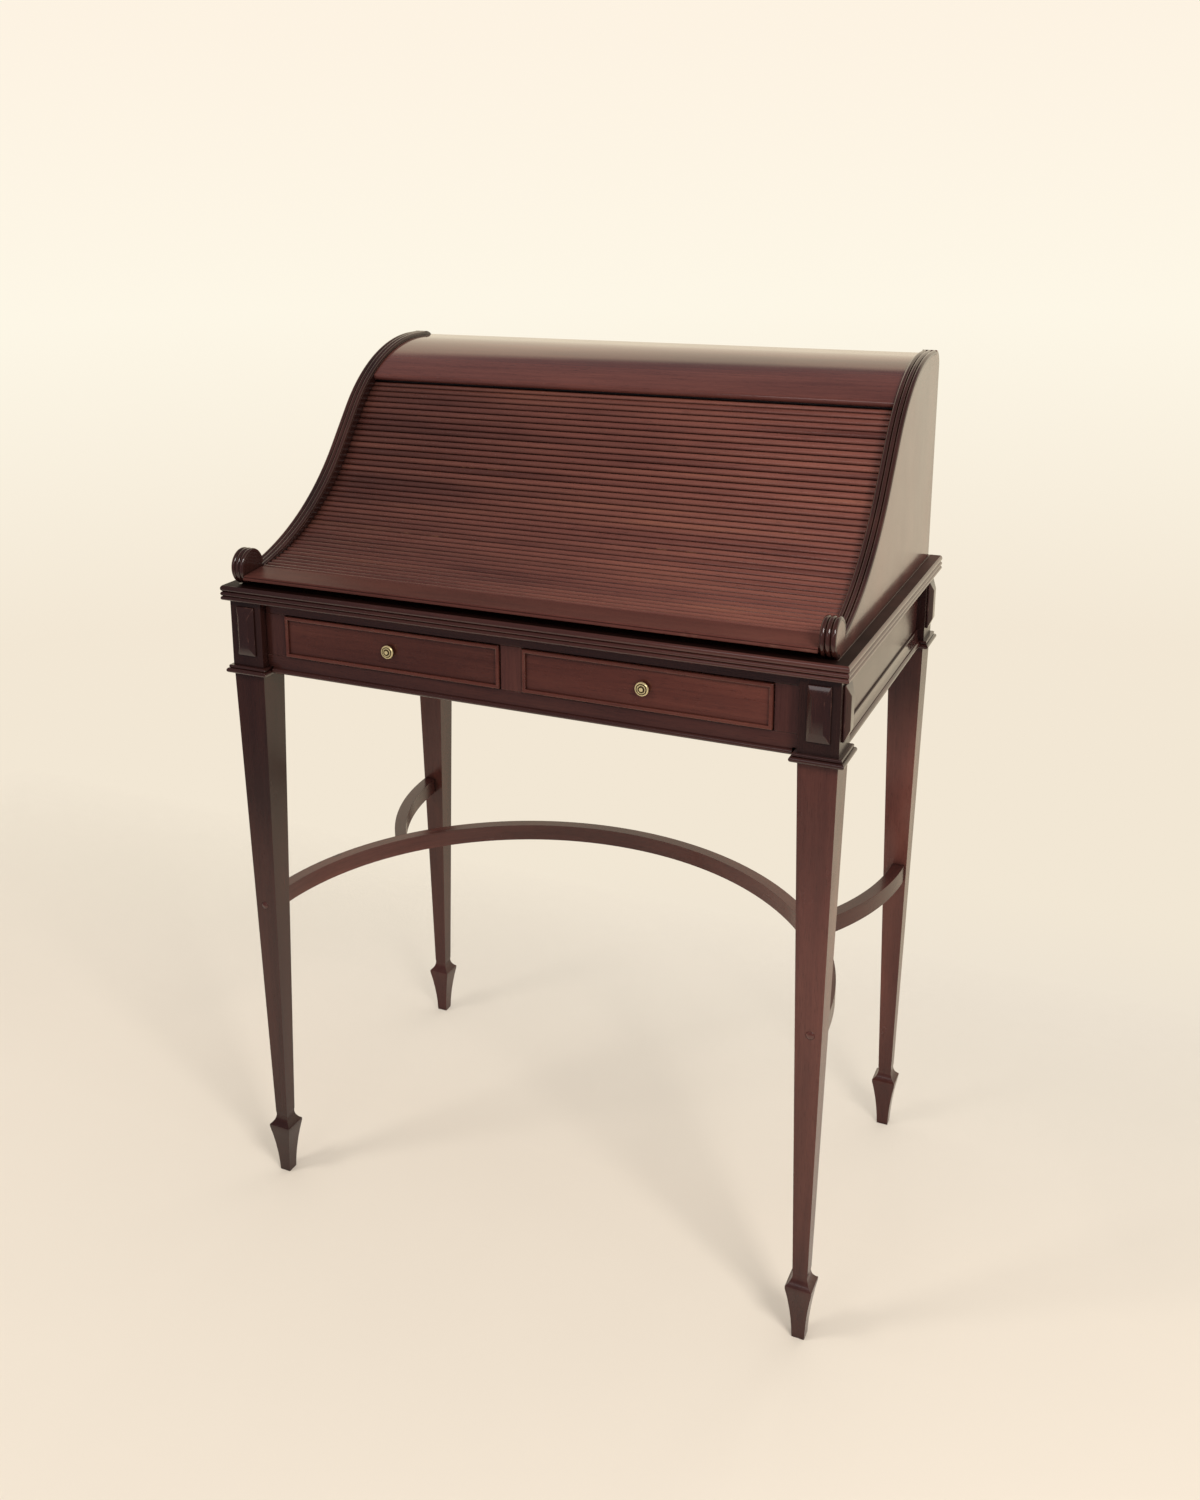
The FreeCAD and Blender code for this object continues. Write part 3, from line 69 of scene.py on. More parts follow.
class Nodes:
    """A node tree and the short calls that fill it."""

    def __init__(self, tree):
        self.tree = tree

    def add(self, kind, sockets=None, **settings):
        node = self.tree.nodes.new("ShaderNode" + kind)
        for key, value in settings.items():
            setattr(node, key, value)
        for key, value in (sockets or {}).items():
            self.put(node.inputs[key], value)
        return node

    def put(self, socket, value):
        if isinstance(value, bpy.types.NodeSocket):
            self.tree.links.new(value, socket)
        else:
            socket.default_value = value

    def attribute(self, name, output="Fac"):
        return self.add("Attribute", attribute_name=name).outputs[output]

    def scaled(self, vector, scale):
        return self.add("Mapping", {"Vector": vector, "Scale": scale}).outputs[0]

    def noise(self, vector, detail=3.0, rough=0.55, output="Fac"):
        sockets = {"Vector": vector, "Scale": 1.0, "Detail": detail, "Roughness": rough, "Distortion": 0.0}
        return self.add("TexNoise", sockets).outputs[output]

    def math(self, operation, first, second, clamp=False):
        return self.add("Math", {0: first, 1: second}, operation=operation, use_clamp=clamp).outputs[0]

    def vector(self, operation, first, second):
        return self.add("VectorMath", {0: first, 1: second}, operation=operation).outputs[0]

    def remap(self, value, low, high, to_low=0.0, to_high=1.0):
        sockets = {"Value": value, "From Min": low, "From Max": high, "To Min": to_low, "To Max": to_high}
        return self.add("MapRange", sockets, clamp=True).outputs[0]

    def ramp(self, value, stops):
        node = self.add("ValToRGB", {0: value})
        elements = node.color_ramp.elements
        while len(elements) < len(stops):
            elements.new(0.5)
        for element, (place, colour) in zip(elements, stops):
            element.position = place
            element.color = (*colour, 1.0)
        return node.outputs[0]

    def mix(self, share, first, second, blend="MIX"):
        node = self.add("Mix", data_type="RGBA", blend_type=blend)
        self.put(node.inputs[0], share)
        for socket, value in ((node.inputs[6], first), (node.inputs[7], second)):
            self.put(socket, (*value, 1.0) if isinstance(value, tuple) else value)
        return node.outputs[2]

    def bump(self, height, strength, distance):
        return self.add("Bump", {"Height": height, "Strength": strength, "Distance": distance}).outputs[0]


class Shade(Nodes):
    """A material with its own node tree and shader."""

    def __init__(self, name):
        self.material = bpy.data.materials.new(name)
        self.material.use_nodes = True
        super().__init__(self.material.node_tree)
        self.shader = self.tree.nodes["Principled BSDF"]

    def set(self, **sockets):
        for key, value in sockets.items():
            self.put(self.shader.inputs[key.replace("_", " ")], value)


# How often each layer of the grain changes in a metre, along the wood and twice across it
SWAY_RATE = (1.8, 13.0, 13.0)
BROAD_RATE = (2.4, 21.0, 21.0)
STREAK_RATE = (5.5, 270.0, 270.0)
FIBRE_RATE = (40.0, 1700.0, 1700.0)
PORE_RATE = (70.0, 2300.0, 2300.0)
PATCH_RATE = (5.0, 17.0, 17.0)
RUB_RATE = (60.0, 60.0, 60.0)
SMUDGE_RATE = (14.0, 19.0, 19.0)
SWELL_RATE = (26.0, 60.0, 60.0)

# Where each noise takes hold, and how much it then counts
NOISE_MIDDLE = (0.3, 0.7)
SWAY_WIDTH = 0.007
FIBRE_SHARE = 0.12
PORE_EDGE = (0.60, 0.70)
PORE_SHARE = 0.4
RUB_EDGE = (0.52, 0.66)
WORN_SHARE = 0.4
# How the darkening near other wood takes hold and counts: dirt and painted shade
OCCLUSION_EDGE = (0.15, 0.85)
DIRT_AND_SHADE_SHARE = 0.8
TONE_GAIN = (0.15, 1.65)

# Polish: how smudges, streaks and rubbing change the roughness, and how far fibres and pores stand out
SMUDGE_SMOOTHER, SMUDGE_ROUGHER = 0.03, 0.05
STREAK_ROUGHER = 0.04
RUB_ROUGHER = 0.15
FIBRE_RISE = 0.5
PORE_DEPTH = 0.8
FIBRE_BUMP = (0.10, 0.12 * MM)
SWELL_BUMP = (0.08, 0.5 * MM)
POLISH_IOR = 1.42
COAT_ROUGHNESS = 0.10

# Dark of the pores, and of dirt and painted shade in corners and gaps
PORE_AND_SHADE_DARK = (0.0045, 0.0020, 0.0018)
RED_BROWN = [(0.30, (0.035, 0.0110, 0.0092)), (0.46, (0.066, 0.0205, 0.0165)),
             (0.58, (0.092, 0.0295, 0.0225)), (0.74, (0.130, 0.0440, 0.0310))]
DRAWER_RED = [(0.30, (0.052, 0.0125, 0.0092)), (0.46, (0.090, 0.0232, 0.0158)),
              (0.58, (0.118, 0.0325, 0.0215)), (0.74, (0.165, 0.0495, 0.0305))]
SLAT_RED = [(0.28, (0.062, 0.0180, 0.0140)), (0.44, (0.124, 0.0400, 0.0300)),
            (0.58, (0.160, 0.0540, 0.0385)), (0.76, (0.225, 0.0820, 0.0490))]
PLAIN_BROWN = [(0.28, (0.105, 0.048, 0.024)), (0.45, (0.160, 0.078, 0.040)),
               (0.60, (0.215, 0.112, 0.060)), (0.78, (0.285, 0.160, 0.090))]
RUBBED = (0.150, 0.070, 0.050)


def wood(name, gloss, coat, stops=RED_BROWN, pore_and_shade_dark=PORE_AND_SHADE_DARK, worn=RUBBED, streak_share=0.28,
         shade_reach=7.0, patch_share=0.0, painted_gap_shade=0.0, shine=0.5):
    """Polished wood whose grain runs along the first part of the grain attribute, in metres.

    The distance, in millimetres, is how near other wood has to be for the colour to darken there: dirt and
    painted shade in corners, creases and gaps."""
    s = Shade(name)
    grain = s.attribute("grain", "Vector")
    tone = s.attribute("tone")
    edge = s.attribute("edge")

    sway = s.noise(s.scaled(grain, SWAY_RATE), 2.0, output="Color")
    sway = s.vector("SUBTRACT", sway, (0.5, 0.5, 0.5))
    sway = s.vector("MULTIPLY", sway, (0.0, SWAY_WIDTH, SWAY_WIDTH))
    line = s.vector("ADD", grain, sway)

    broad = s.noise(s.scaled(line, BROAD_RATE), 4.0)
    streak = s.noise(s.scaled(line, STREAK_RATE), 7.0, 0.62)
    fibre = s.noise(s.scaled(line, FIBRE_RATE), 3.0)
    pores = s.remap(s.noise(s.scaled(line, PORE_RATE), 1.0), *PORE_EDGE)

    value = s.math("MULTIPLY", broad, 1.0 - FIBRE_SHARE - streak_share)
    value = s.math("ADD", value, s.math("MULTIPLY", streak, streak_share))
    value = s.math("ADD", value, s.math("MULTIPLY", fibre, FIBRE_SHARE))
    if patch_share:
        place = s.add("TexCoord").outputs["Object"]
        patch = s.math("SUBTRACT", s.noise(s.scaled(place, PATCH_RATE), 3.0), 0.5)
        value = s.math("ADD", value, s.math("MULTIPLY", patch, patch_share), True)
    colour = s.ramp(value, stops)
    colour = s.mix(s.math("MULTIPLY", pores, PORE_SHARE), colour, pore_and_shade_dark)
    gain = s.remap(tone, 0.0, 1.0, *TONE_GAIN)
    gain = s.add("CombineColor", {0: gain, 1: gain, 2: gain}).outputs[0]
    colour = s.mix(1.0, colour, gain, "MULTIPLY")

    rub = s.noise(s.scaled(grain, RUB_RATE), 4.0)
    rub = s.math("MULTIPLY", s.remap(rub, *RUB_EDGE), edge)
    colour = s.mix(s.math("MULTIPLY", rub, WORN_SHARE), colour, worn)
    # Darker where other wood is near: dirt and painted shade in corners, creases and gaps
    occlusion = s.add("AmbientOcclusion", {"Distance": shade_reach * MM}, samples=4).outputs["AO"]
    colour = s.mix(s.remap(occlusion, *OCCLUSION_EDGE, DIRT_AND_SHADE_SHARE, 0.0), colour, pore_and_shade_dark)
    # Painted shade between the slats and painted shadow under the nosing
    if painted_gap_shade:
        colour = s.mix(s.math("MULTIPLY", s.attribute("painted_gap_shade"), painted_gap_shade), colour, pore_and_shade_dark)
    s.set(Base_Color=colour)

    smudge = s.noise(s.scaled(grain, SMUDGE_RATE), 5.0, 0.6)
    rough = s.remap(smudge, *NOISE_MIDDLE, gloss - SMUDGE_SMOOTHER, gloss + SMUDGE_ROUGHER)
    rough = s.math("ADD", rough, s.math("MULTIPLY", streak, STREAK_ROUGHER))
    rough = s.math("ADD", rough, s.math("MULTIPLY", rub, RUB_ROUGHER), True)
    s.set(Roughness=rough, IOR=POLISH_IOR, Specular_IOR_Level=shine)
    s.set(Coat_Weight=coat, Coat_Roughness=COAT_ROUGHNESS, Coat_IOR=POLISH_IOR)

    height = s.math("SUBTRACT", s.math("MULTIPLY", fibre, FIBRE_RISE), s.math("MULTIPLY", pores, PORE_DEPTH))
    s.set(Normal=s.bump(height, *FIBRE_BUMP))
    swell = s.noise(s.scaled(grain, SWELL_RATE), 2.0)
    s.set(Coat_Normal=s.bump(swell, *SWELL_BUMP))
    return s.material


STAIN_RATE = (320.0, 320.0, 320.0)
STAIN_EDGE = (0.25, 0.6)
STAIN_SHARE = 0.6
STAIN_ROUGHER = 0.18
TURNED_RATE = (900.0, 900.0, 900.0)
TURNED_BUMP = (0.08, 0.1 * MM)
GROOVE_DISTANCE = 2.5 * MM
GROOVE_EDGE = (0.66, 0.98)
GROOVE_SHARE = 0.1


def metal(name, dull, bright, roughness, metallic):
    """Old turned metal: bright on its raised rings, dull in its grooves and where the tone is above 0.5."""
    s = Shade(name)
    place = s.add("TexCoord").outputs["Object"]
    stain = s.noise(s.scaled(place, STAIN_RATE), 5.0, 0.65)
    turned = s.noise(s.scaled(place, TURNED_RATE), 2.0)
    occlusion = s.add("AmbientOcclusion", {"Distance": GROOVE_DISTANCE}, samples=8).outputs["AO"]
    share = s.math("MULTIPLY", s.remap(occlusion, *GROOVE_EDGE), s.remap(stain, *STAIN_EDGE, STAIN_SHARE, 1.0))
    share = s.math("MULTIPLY", share, s.remap(s.attribute("tone"), 0.5, 1.0, 1.0, GROOVE_SHARE))
    s.set(Base_Color=s.mix(share, dull, bright), Metallic=metallic)
    s.set(Roughness=s.remap(stain, *NOISE_MIDDLE, roughness + STAIN_ROUGHER, roughness))
    s.set(Normal=s.bump(turned, *TURNED_BUMP))
    return s.material


THREAD_RATE = 420.0
THREAD_GAP_SHARE = 0.35
CLOTH_STAIN_RATE = (18.0, 18.0, 18.0)
CLOTH_ROUGHNESS = 0.92
WEAVE_BUMP = (0.5, 0.25 * MM)
CLOTH_DARK, CLOTH_PALE, THREAD_GAP = (0.33, 0.25, 0.16), (0.47, 0.38, 0.26), (0.20, 0.15, 0.10)


def canvas(name):
    """Plain woven cotton, thread by thread."""
    s = Shade(name)
    grain = s.attribute("grain", "Vector")
    threads = {"Vector": grain, "Scale": THREAD_RATE, "Distortion": 0.6, "Detail": 1.0}
    across = s.add("TexWave", threads, bands_direction="X").outputs["Fac"]
    along = s.add("TexWave", threads, bands_direction="Y").outputs["Fac"]
    weave = s.math("MAXIMUM", across, along)
    stain = s.noise(s.scaled(grain, CLOTH_STAIN_RATE), 4.0)
    colour = s.mix(stain, CLOTH_DARK, CLOTH_PALE)
    s.set(Base_Color=s.mix(s.math("MULTIPLY", weave, THREAD_GAP_SHARE), colour, THREAD_GAP))
    s.set(Roughness=CLOTH_ROUGHNESS, Normal=s.bump(weave, *WEAVE_BUMP))
    return s.material


MAHOGANY = wood("mahogany", 0.18, 0.25)
LEG_WOOD = wood("leg_mahogany", 0.21, 0.03, streak_share=0.16)
PANEL_WOOD = wood("panel_mahogany", 0.16, 0.50)
TOP_WOOD = wood("top_mahogany", 0.09, 0.70)
MOULDING_WOOD = wood("moulding_mahogany", 0.12, 0.40, streak_share=0.20)
RAIL_WOOD = wood("rail_mahogany", 0.36, 0.0, streak_share=0.20, shine=0.15)
DULL_WOOD = wood("dull_mahogany", 0.48, 0.0, shine=0.12)
# The bed darkens over a wide reach near other wood: painted shade
BED_WOOD = wood("bed_mahogany", 0.20, 0.15, shade_reach=28.0)
DRAWER_WOOD = wood("drawer_mahogany", 0.24, 0.20, DRAWER_RED, worn=(0.190, 0.085, 0.060))
SLATS = wood("slats", 0.26, 0.15, SLAT_RED, (0.008, 0.0026, 0.0022), (0.520, 0.230, 0.115),
             streak_share=0.26, shade_reach=4.5, patch_share=0.34, painted_gap_shade=0.92)
INNER_WOOD = wood("inner_wood", 0.50, 0.0, PLAIN_BROWN, (0.030, 0.014, 0.008), (0.300, 0.180, 0.105),
                  streak_share=0.40)
BRASS = metal("brass", (0.085, 0.050, 0.016), (0.960, 0.790, 0.430), 0.26, 0.60)
STEEL = metal("steel", (0.060, 0.055, 0.050), (0.420, 0.410, 0.390), 0.34, 1.0)
CANVAS = canvas("canvas")


# Mesh helpers

def islands(bm):
    """The separate solids of a mesh, as lists of vertices in a steady order."""
    bm.verts.index_update()
    seen = set()
    found = []
    for start in bm.verts:
        if start.index in seen:
            continue
        seen.add(start.index)
        group = []
        queue = [start]
        while queue:
            vertex = queue.pop()
            group.append(vertex)
            for edge in vertex.link_edges:
                other = edge.other_vert(vertex)
                if other.index not in seen:
                    seen.add(other.index)
                    queue.append(other)
        found.append(group)
    return found


def cad_copy(node):
    """A welded copy of a node's mesh, its flat faces whole."""
    bm = bmesh.new()
    bm.from_mesh(nodes[node].data)
    bmesh.ops.remove_doubles(bm, verts=bm.verts[:], dist=WELD)
    bmesh.ops.dissolve_limit(bm, angle_limit=FLAT_ANGLE, verts=bm.verts[:], edges=bm.edges[:])
    return bm


def straight(axis):
    """Grain places for wood that runs along x, y or z."""
    order = {"x": (0, 1, 2), "y": (1, 2, 0), "z": (2, 0, 1)}[axis]
    return lambda point: [point[i] for i in order]


def round_arc(centre_y, radius):
    """Grain places for wood bent round an upright axis."""

    def place(point):
        angle = math.atan2(point[0], point[1] - centre_y)
        return (angle * radius, math.hypot(point[0], point[1] - centre_y), point[2])

    return place


GRAIN_SHIFT = (4, 0.5, 0.5)


def dress(bm, name, material, grain, tone=0.5, edge_faces=()):
    """A new object from a mesh, with its grain places, its tones and its rubbed faces marked.

    The tone is a number, or a function of a point and the number of its solid."""
    draw = random.Random(name)
    places = [None] * len(bm.verts)
    shades = [None] * len(bm.verts)
    for number, group in enumerate(islands(bm)):
        shift = [draw.uniform(-most, most) for most in GRAIN_SHIFT]
        for vertex in group:
            places[vertex.index] = [a + b for a, b in zip(grain(vertex.co), shift)]
            shades[vertex.index] = tone(vertex.co, number) if callable(tone) else tone
    bm.faces.index_update()
    marked = {face.index for face in edge_faces if face.is_valid}
    worn = [1.0 if face.index in marked else 0.0 for face in bm.faces]
    for face in bm.faces:
        face.smooth = True
    mesh = bpy.data.meshes.new(name)
    bm.to_mesh(mesh)
    bm.free()
    flat_places = [part for place in places for part in place]
    mesh.attributes.new("grain", "FLOAT_VECTOR", "POINT").data.foreach_set("vector", flat_places)
    mesh.attributes.new("tone", "FLOAT", "POINT").data.foreach_set("value", shades)
    mesh.attributes.new("edge", "FLOAT", "FACE").data.foreach_set("value", worn)
    mesh.set_sharp_from_angle(angle=SHARP_ANGLE)
    mesh.materials.append(material)
    piece = bpy.data.objects.new(name, mesh)
    scene.collection.objects.link(piece)
    even = piece.modifiers.new("even_normals", "WEIGHTED_NORMAL")
    even.keep_sharp = True
    return piece


# Heights where a leg's tone is set, in millimetres
TONE_HEIGHTS = [60, 140, 200, 300, 400, 500, 600]


def cut_across(bm):
    """New edges round a leg at the heights where its tone is set."""
    for height in TONE_HEIGHTS[1:]:
        bmesh.ops.bisect_plane(bm, geom=bm.verts[:] + bm.edges[:] + bm.faces[:],
                               plane_co=(0, 0, height * MM), plane_no=(0, 0, 1))


def softened(node, material, grain, tone=0.5, width=0.6):
    """The piece that stands for a node, with its outer edges rounded by a width in millimetres."""
    bm = cad_copy(node)
    edges = [edge for edge in bm.edges
             if edge.is_manifold and edge.is_convex and edge.calc_face_angle(0.0) > SHARP_ANGLE]
    made = bmesh.ops.bevel(bm, geom=edges, offset=width * MM, offset_type="OFFSET", segments=2,
                           profile=0.5, affect="EDGES", clamp_overlap=True)
    if node.endswith("_leg"):
        cut_across(bm)
    piece = dress(bm, node + "_shown", material, grain, tone, made["faces"])
    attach(piece, nodes[node]["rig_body"])
    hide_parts(node)
    return piece


# Tones that change over a piece; the block's height is in millimetres

BLOCK_BOTTOM = 653
# Painted shade on the legs' corner blocks under the bed
BLOCK_PAINTED_SHADE = 0.07
TONE_SPAN = 560 * MM
BED_TOP_LINE = 748.9 * MM
TAMBOUR_FOOT = -190 * MM
PANEL_MIDDLE = 331 * MM
BUTTON_GROOVE = (2.1 * MM, 4.1 * MM)


def up_the_leg(*tones):
    """A leg's tone at each height, painted light and shade, and nearly black on its corner block, painted
    shade under the bed.
    """

    def tone(point, number):
        height = point[2] / MM
        if height > BLOCK_BOTTOM:
            return BLOCK_PAINTED_SHADE
        for low, high, first, second in zip(TONE_HEIGHTS, TONE_HEIGHTS[1:], tones, tones[1:]):
            if height <= high:
                share = max(0.0, (height - low) / (high - low))
                return first + (second - first) * share
        return tones[-1]

    return tone


def painted_light_left_to_right(left, right):
    """A tone that changes evenly from one side of the desk to the other: painted light, falling from the
    right.
    """
    return lambda point, number: left + (right - left) * min(1.0, max(0.0, point[0] / TONE_SPAN + 0.5))


BED_SIDE_PAINTED_LIGHT = painted_light_left_to_right(0.12, 0.50)


def bed_edge(point, number):
    """The moulding's tone: nearly black along its top in front of the tambour, painted shade of the gap
    under the lead rail, and painted light from the right on its sides.
    """
    if point[2] > BED_TOP_LINE:
        return 0.0 if point[1] < TAMBOUR_FOOT else 0.42
    return BED_SIDE_PAINTED_LIGHT(point, number)


def panel_sides(point, number):
    """A side panel's tone: full outside, dark inside where little light comes."""
    return 0.80 if abs(point[0]) > PANEL_MIDDLE else 0.10


def knob_rings(node):
    """A knob's tone, which darkens the brass in a ring round the middle of its button."""
    corners = [Vector(corner) for corner in nodes[node].bound_box]
    middle = sum(corners, Vector()) / len(corners)
    low, high = BUTTON_GROOVE

    def tone(point, number):
        return 1.0 if low < math.hypot(point[0] - middle.x, point[2] - middle.z) < high else 0.5

    return tone


# Pieces of the case and the drawers: material, grain and tone; tones that change across the desk or up a leg
# are painted light and shade

ALONG_X = straight("x")
ALONG_Y = straight("y")
ALONG_Z = straight("z")
BOW_CENTRE = 191.5 * MM
BOW_RADIUS = 327.5 * MM
FRONT_BOW = round_arc(-BOW_CENTRE, BOW_RADIUS)
REAR_BOW = round_arc(BOW_CENTRE, BOW_RADIUS)
CASE = {
    # Each leg's tones, from the floor up, are painted light and shade, lighter on the right legs
    "front_left_leg": (LEG_WOOD, ALONG_Z, up_the_leg(0.13, 0.32, 0.44, 0.37, 0.29, 0.11, 0.15)),
    "front_right_leg": (LEG_WOOD, ALONG_Z, up_the_leg(0.43, 0.59, 0.55, 0.64, 0.83, 0.83, 0.57)),
    "back_left_leg": (LEG_WOOD, ALONG_Z, up_the_leg(0.50, 0.53, 0.43, 0.38, 0.43, 0.39, 0.30)),
    "back_right_leg": (LEG_WOOD, ALONG_Z, up_the_leg(0.43, 0.63, 0.67, 0.63, 0.84, 0.95, 0.30)),
    "leg_collars": (MOULDING_WOOD, ALONG_X, 0.17),
    "corner_jewels": (MOULDING_WOOD, ALONG_Z, 0.18),
    "stretcher_plugs": (MOULDING_WOOD, ALONG_Z, 0.70),
    "front_stretcher": (LEG_WOOD, FRONT_BOW, 0.68),
    "left_rear_stretcher": (LEG_WOOD, REAR_BOW, 0.48),
    "right_rear_stretcher": (LEG_WOOD, REAR_BOW, 0.48),
    "front_top_rail": (MAHOGANY, ALONG_X, 0.23),
    "front_bottom_rail": (MAHOGANY, ALONG_X, painted_light_left_to_right(0.19, 0.38)),
    "front_bead": (MAHOGANY, ALONG_X, 0.23),
    "front_centre_stile": (MAHOGANY, ALONG_Z, 0.41),
    "front_end_stiles": (MAHOGANY, ALONG_Z, painted_light_left_to_right(0.23, 0.48)),
    "left_apron": (MAHOGANY, ALONG_Y, 0.36),
    "right_apron": (MAHOGANY, ALONG_Y, 0.36),
    "apron_mouldings": (MOULDING_WOOD, ALONG_X, 0.30),
    "desk_bed": (BED_WOOD, ALONG_X, 0.44),
    "bed_moulding": (MOULDING_WOOD, ALONG_X, bed_edge),
    "top_board": (TOP_WOOD, ALONG_X, 0.78),
    "left_side_panel": (PANEL_WOOD, ALONG_Z, panel_sides),
    "right_side_panel": (PANEL_WOOD, ALONG_Z, panel_sides),
    "left_edge_moulding": (MOULDING_WOOD, ALONG_Z, 0.22),
    "right_edge_moulding": (MOULDING_WOOD, ALONG_Z, 0.22),
    "pigeonhole_top": (MAHOGANY, ALONG_X, 0.50),
    "pigeonhole_dividers": (MAHOGANY, ALONG_Z, 0.50),
}
FACES_UP = 0.99
KNOB_ROUNDING = 0.25
INNER_ROUNDING = 0.4
for name, (material, grain, tone) in CASE.items():
    piece = softened(name, material, grain, tone)
    if name == "bed_moulding":
        piece.data.materials.append(DULL_WOOD)
        for face in piece.data.polygons:
            if face.normal.z > FACES_UP and face.center.z > BED_TOP_LINE:
                face.material_index = 1
for side, tone in (("left", 0.29), ("right", painted_light_left_to_right(0.18, 0.60))):
    softened(side + "_drawer_front", DRAWER_WOOD, ALONG_X, tone)
    softened(side + "_drawer_bead", DRAWER_WOOD, ALONG_X, 0.47)
    knob = side + "_drawer_knob"
    softened(knob, BRASS, ALONG_Z, knob_rings(knob), KNOB_ROUNDING)
for name in ["back_panel", "false_back", "back_apron", "left_drawer_back", "right_drawer_back",
             "left_drawer_bottom", "right_drawer_bottom"]:
    softened(name, INNER_WOOD, ALONG_X, width=INNER_ROUNDING)
for name in ["drawer_runners", "drawer_guides", "left_drawer_sides", "right_drawer_sides"]:
    softened(name, INNER_WOOD, ALONG_Y, width=INNER_ROUNDING)
for name in ["left_knob_screw", "right_knob_screw", "stretcher_screws"]:
    nodes[name].data.materials.clear()
    nodes[name].data.materials.append(STEEL)


# Tambour: slats one by one, each with its own tone, on the canvas; sizes without MM are in millimetres

FACES_LEFT = -0.99
NOSING_EDGE = min(vertex.co.z for vertex in nodes["top_board"].data.vertices)
NOSING_SHADOW = 3.0 * MM
RUBBED_LINES = [(-82, -250, -130), (-72, 60, 165), (-4, -165, -95), (-40, 190, 260)]
RUBBED_REACH = 3 * MM
RUBBED_WIDTH = 1.6 * MM
# Shares of a slat's height where the painted shade between slats starts and where it is full
LIT_HEIGHT, SHADED_HEIGHT = 0.8, 0.3
FACE_HEIGHT = 0.5
OUTER_HEIGHT = 0.45
WHOLE_LIFT = 0.10
WAVE_LIFT, WAVE_RATE, WAVE_START = (0.01, 0.05), (3, 16), (0, 6.3)
WAVE_COUNT = 3
SLAT_STATIONS = 36
SLAT_SEED = 41
SLAT_TONE_SPREAD = 0.07
LOW_SLATS_TOP = 800
LOW_SLATS_DEPTH = 30
LOW_SLATS_LOSS = 0.16
SLAT_PAINTED_LIGHT = painted_light_left_to_right(0.28, 0.76)


def cap_outlines(node):
    """The outlines of a section's solids at its left end, as (left x, points in the side plane)."""
    bm = cad_copy(node)
    caps = []
    for face in bm.faces:
        if face.normal.x < FACES_LEFT:
            caps.append((face.verts[0].co.x, [(v.co.y, v.co.z) for v in face.verts]))
    bm.free()
    return caps


def span(outline):
    """The largest distance across an outline."""
    return max(math.dist(a, b) for a in outline for b in outline)


def skin(bm, rings):
    """The closed mesh over a row of rings, as a list of strips of faces from left to right."""
    count = len(rings[0])
    strips = []
    for left, right in zip(rings, rings[1:]):
        strips.append([bm.faces.new((left[i], left[(i + 1) % count], right[(i + 1) % count], right[i]))
                       for i in range(count)])
    bm.faces.new(rings[0][::-1])
    bm.faces.new(rings[-1])
    return strips


def loft(bm, outline, reach, lift, stations):
    """A bar of the outline's shape from -reach to reach, its face raised a little by lift(x).

    How far each vertex lies below the face is kept, for painted shade between slats; the slats just under
    the nosing get full painted shadow.
    The faces that hands have rubbed, along the lower edge of a few slats, are given back.
    Each of the rubbed lines is the y of its slat and its two ends in x, in millimetres."""
    painted_gap_shade = bm.verts.layers.float.get("painted_gap_shade") or bm.verts.layers.float.new("painted_gap_shade")
    count = len(outline)
    longest = max(range(count), key=lambda i: math.dist(outline[i], outline[(i + 1) % count]))
    base = {longest, (longest + 1) % count}
    first, second = outline[longest], outline[(longest + 1) % count]
    middle = [sum(p[i] for p in outline) / count for i in (0, 1)]
    run = Vector((0, second[0] - first[0], second[1] - first[1])).normalized()
    up = Vector((0, middle[0] - first[0], middle[1] - first[1]))
    up = (up - run * up.dot(run)).normalized()
    heights = [up.dot(Vector((0, point[0] - first[0], point[1] - first[1]))) for point in outline]
    top = max(heights)
    depths = [min(1.0, max(0.0, (LIT_HEIGHT - height / top) / (LIT_HEIGHT - SHADED_HEIGHT)))
              for height in heights]
    rings = []
    for step in range(stations + 1):
        x = -reach + 2 * reach * step / stations
        rings.append([bm.verts.new(Vector((x, *point)) + up * (0 if i in base else lift(x)))
                      for i, point in enumerate(outline)])
        for vertex, depth in zip(rings[-1], depths):
            # Full painted shadow just under the nosing, else painted shade by depth below the face
            vertex[painted_gap_shade] = 1.0 if vertex.co.z > NOSING_EDGE - NOSING_SHADOW else depth
    lowest = min(point[1] for point, height in zip(outline, heights) if height > FACE_HEIGHT * top)
    lines = [(low, high) for y, low, high in RUBBED_LINES if abs(middle[0] - y * MM) < RUBBED_REACH]
    rubbed = []
    for left, right, strip in zip(rings, rings[1:], skin(bm, rings)):
        x = (left[0].co.x + right[0].co.x) / 2 / MM
        for i, face in enumerate(strip):
            j = (i + 1) % count
            outer = min(heights[i], heights[j]) > OUTER_HEIGHT * top
            if outer and max(outline[i][1], outline[j][1]) < lowest + RUBBED_WIDTH:
                rubbed += [face for low, high in lines if low < x < high]
    return rubbed


def gentle_lift(draw):
    """A slat's small unevenness along its length, in metres."""
    whole = draw.uniform(-WHOLE_LIFT, WHOLE_LIFT)
    waves = [(draw.uniform(*WAVE_LIFT), draw.uniform(*WAVE_RATE), draw.uniform(*WAVE_START))
             for _ in range(WAVE_COUNT)]
    return lambda x: MM * (whole + sum(a * math.sin(b * x + c) for a, b, c in waves))


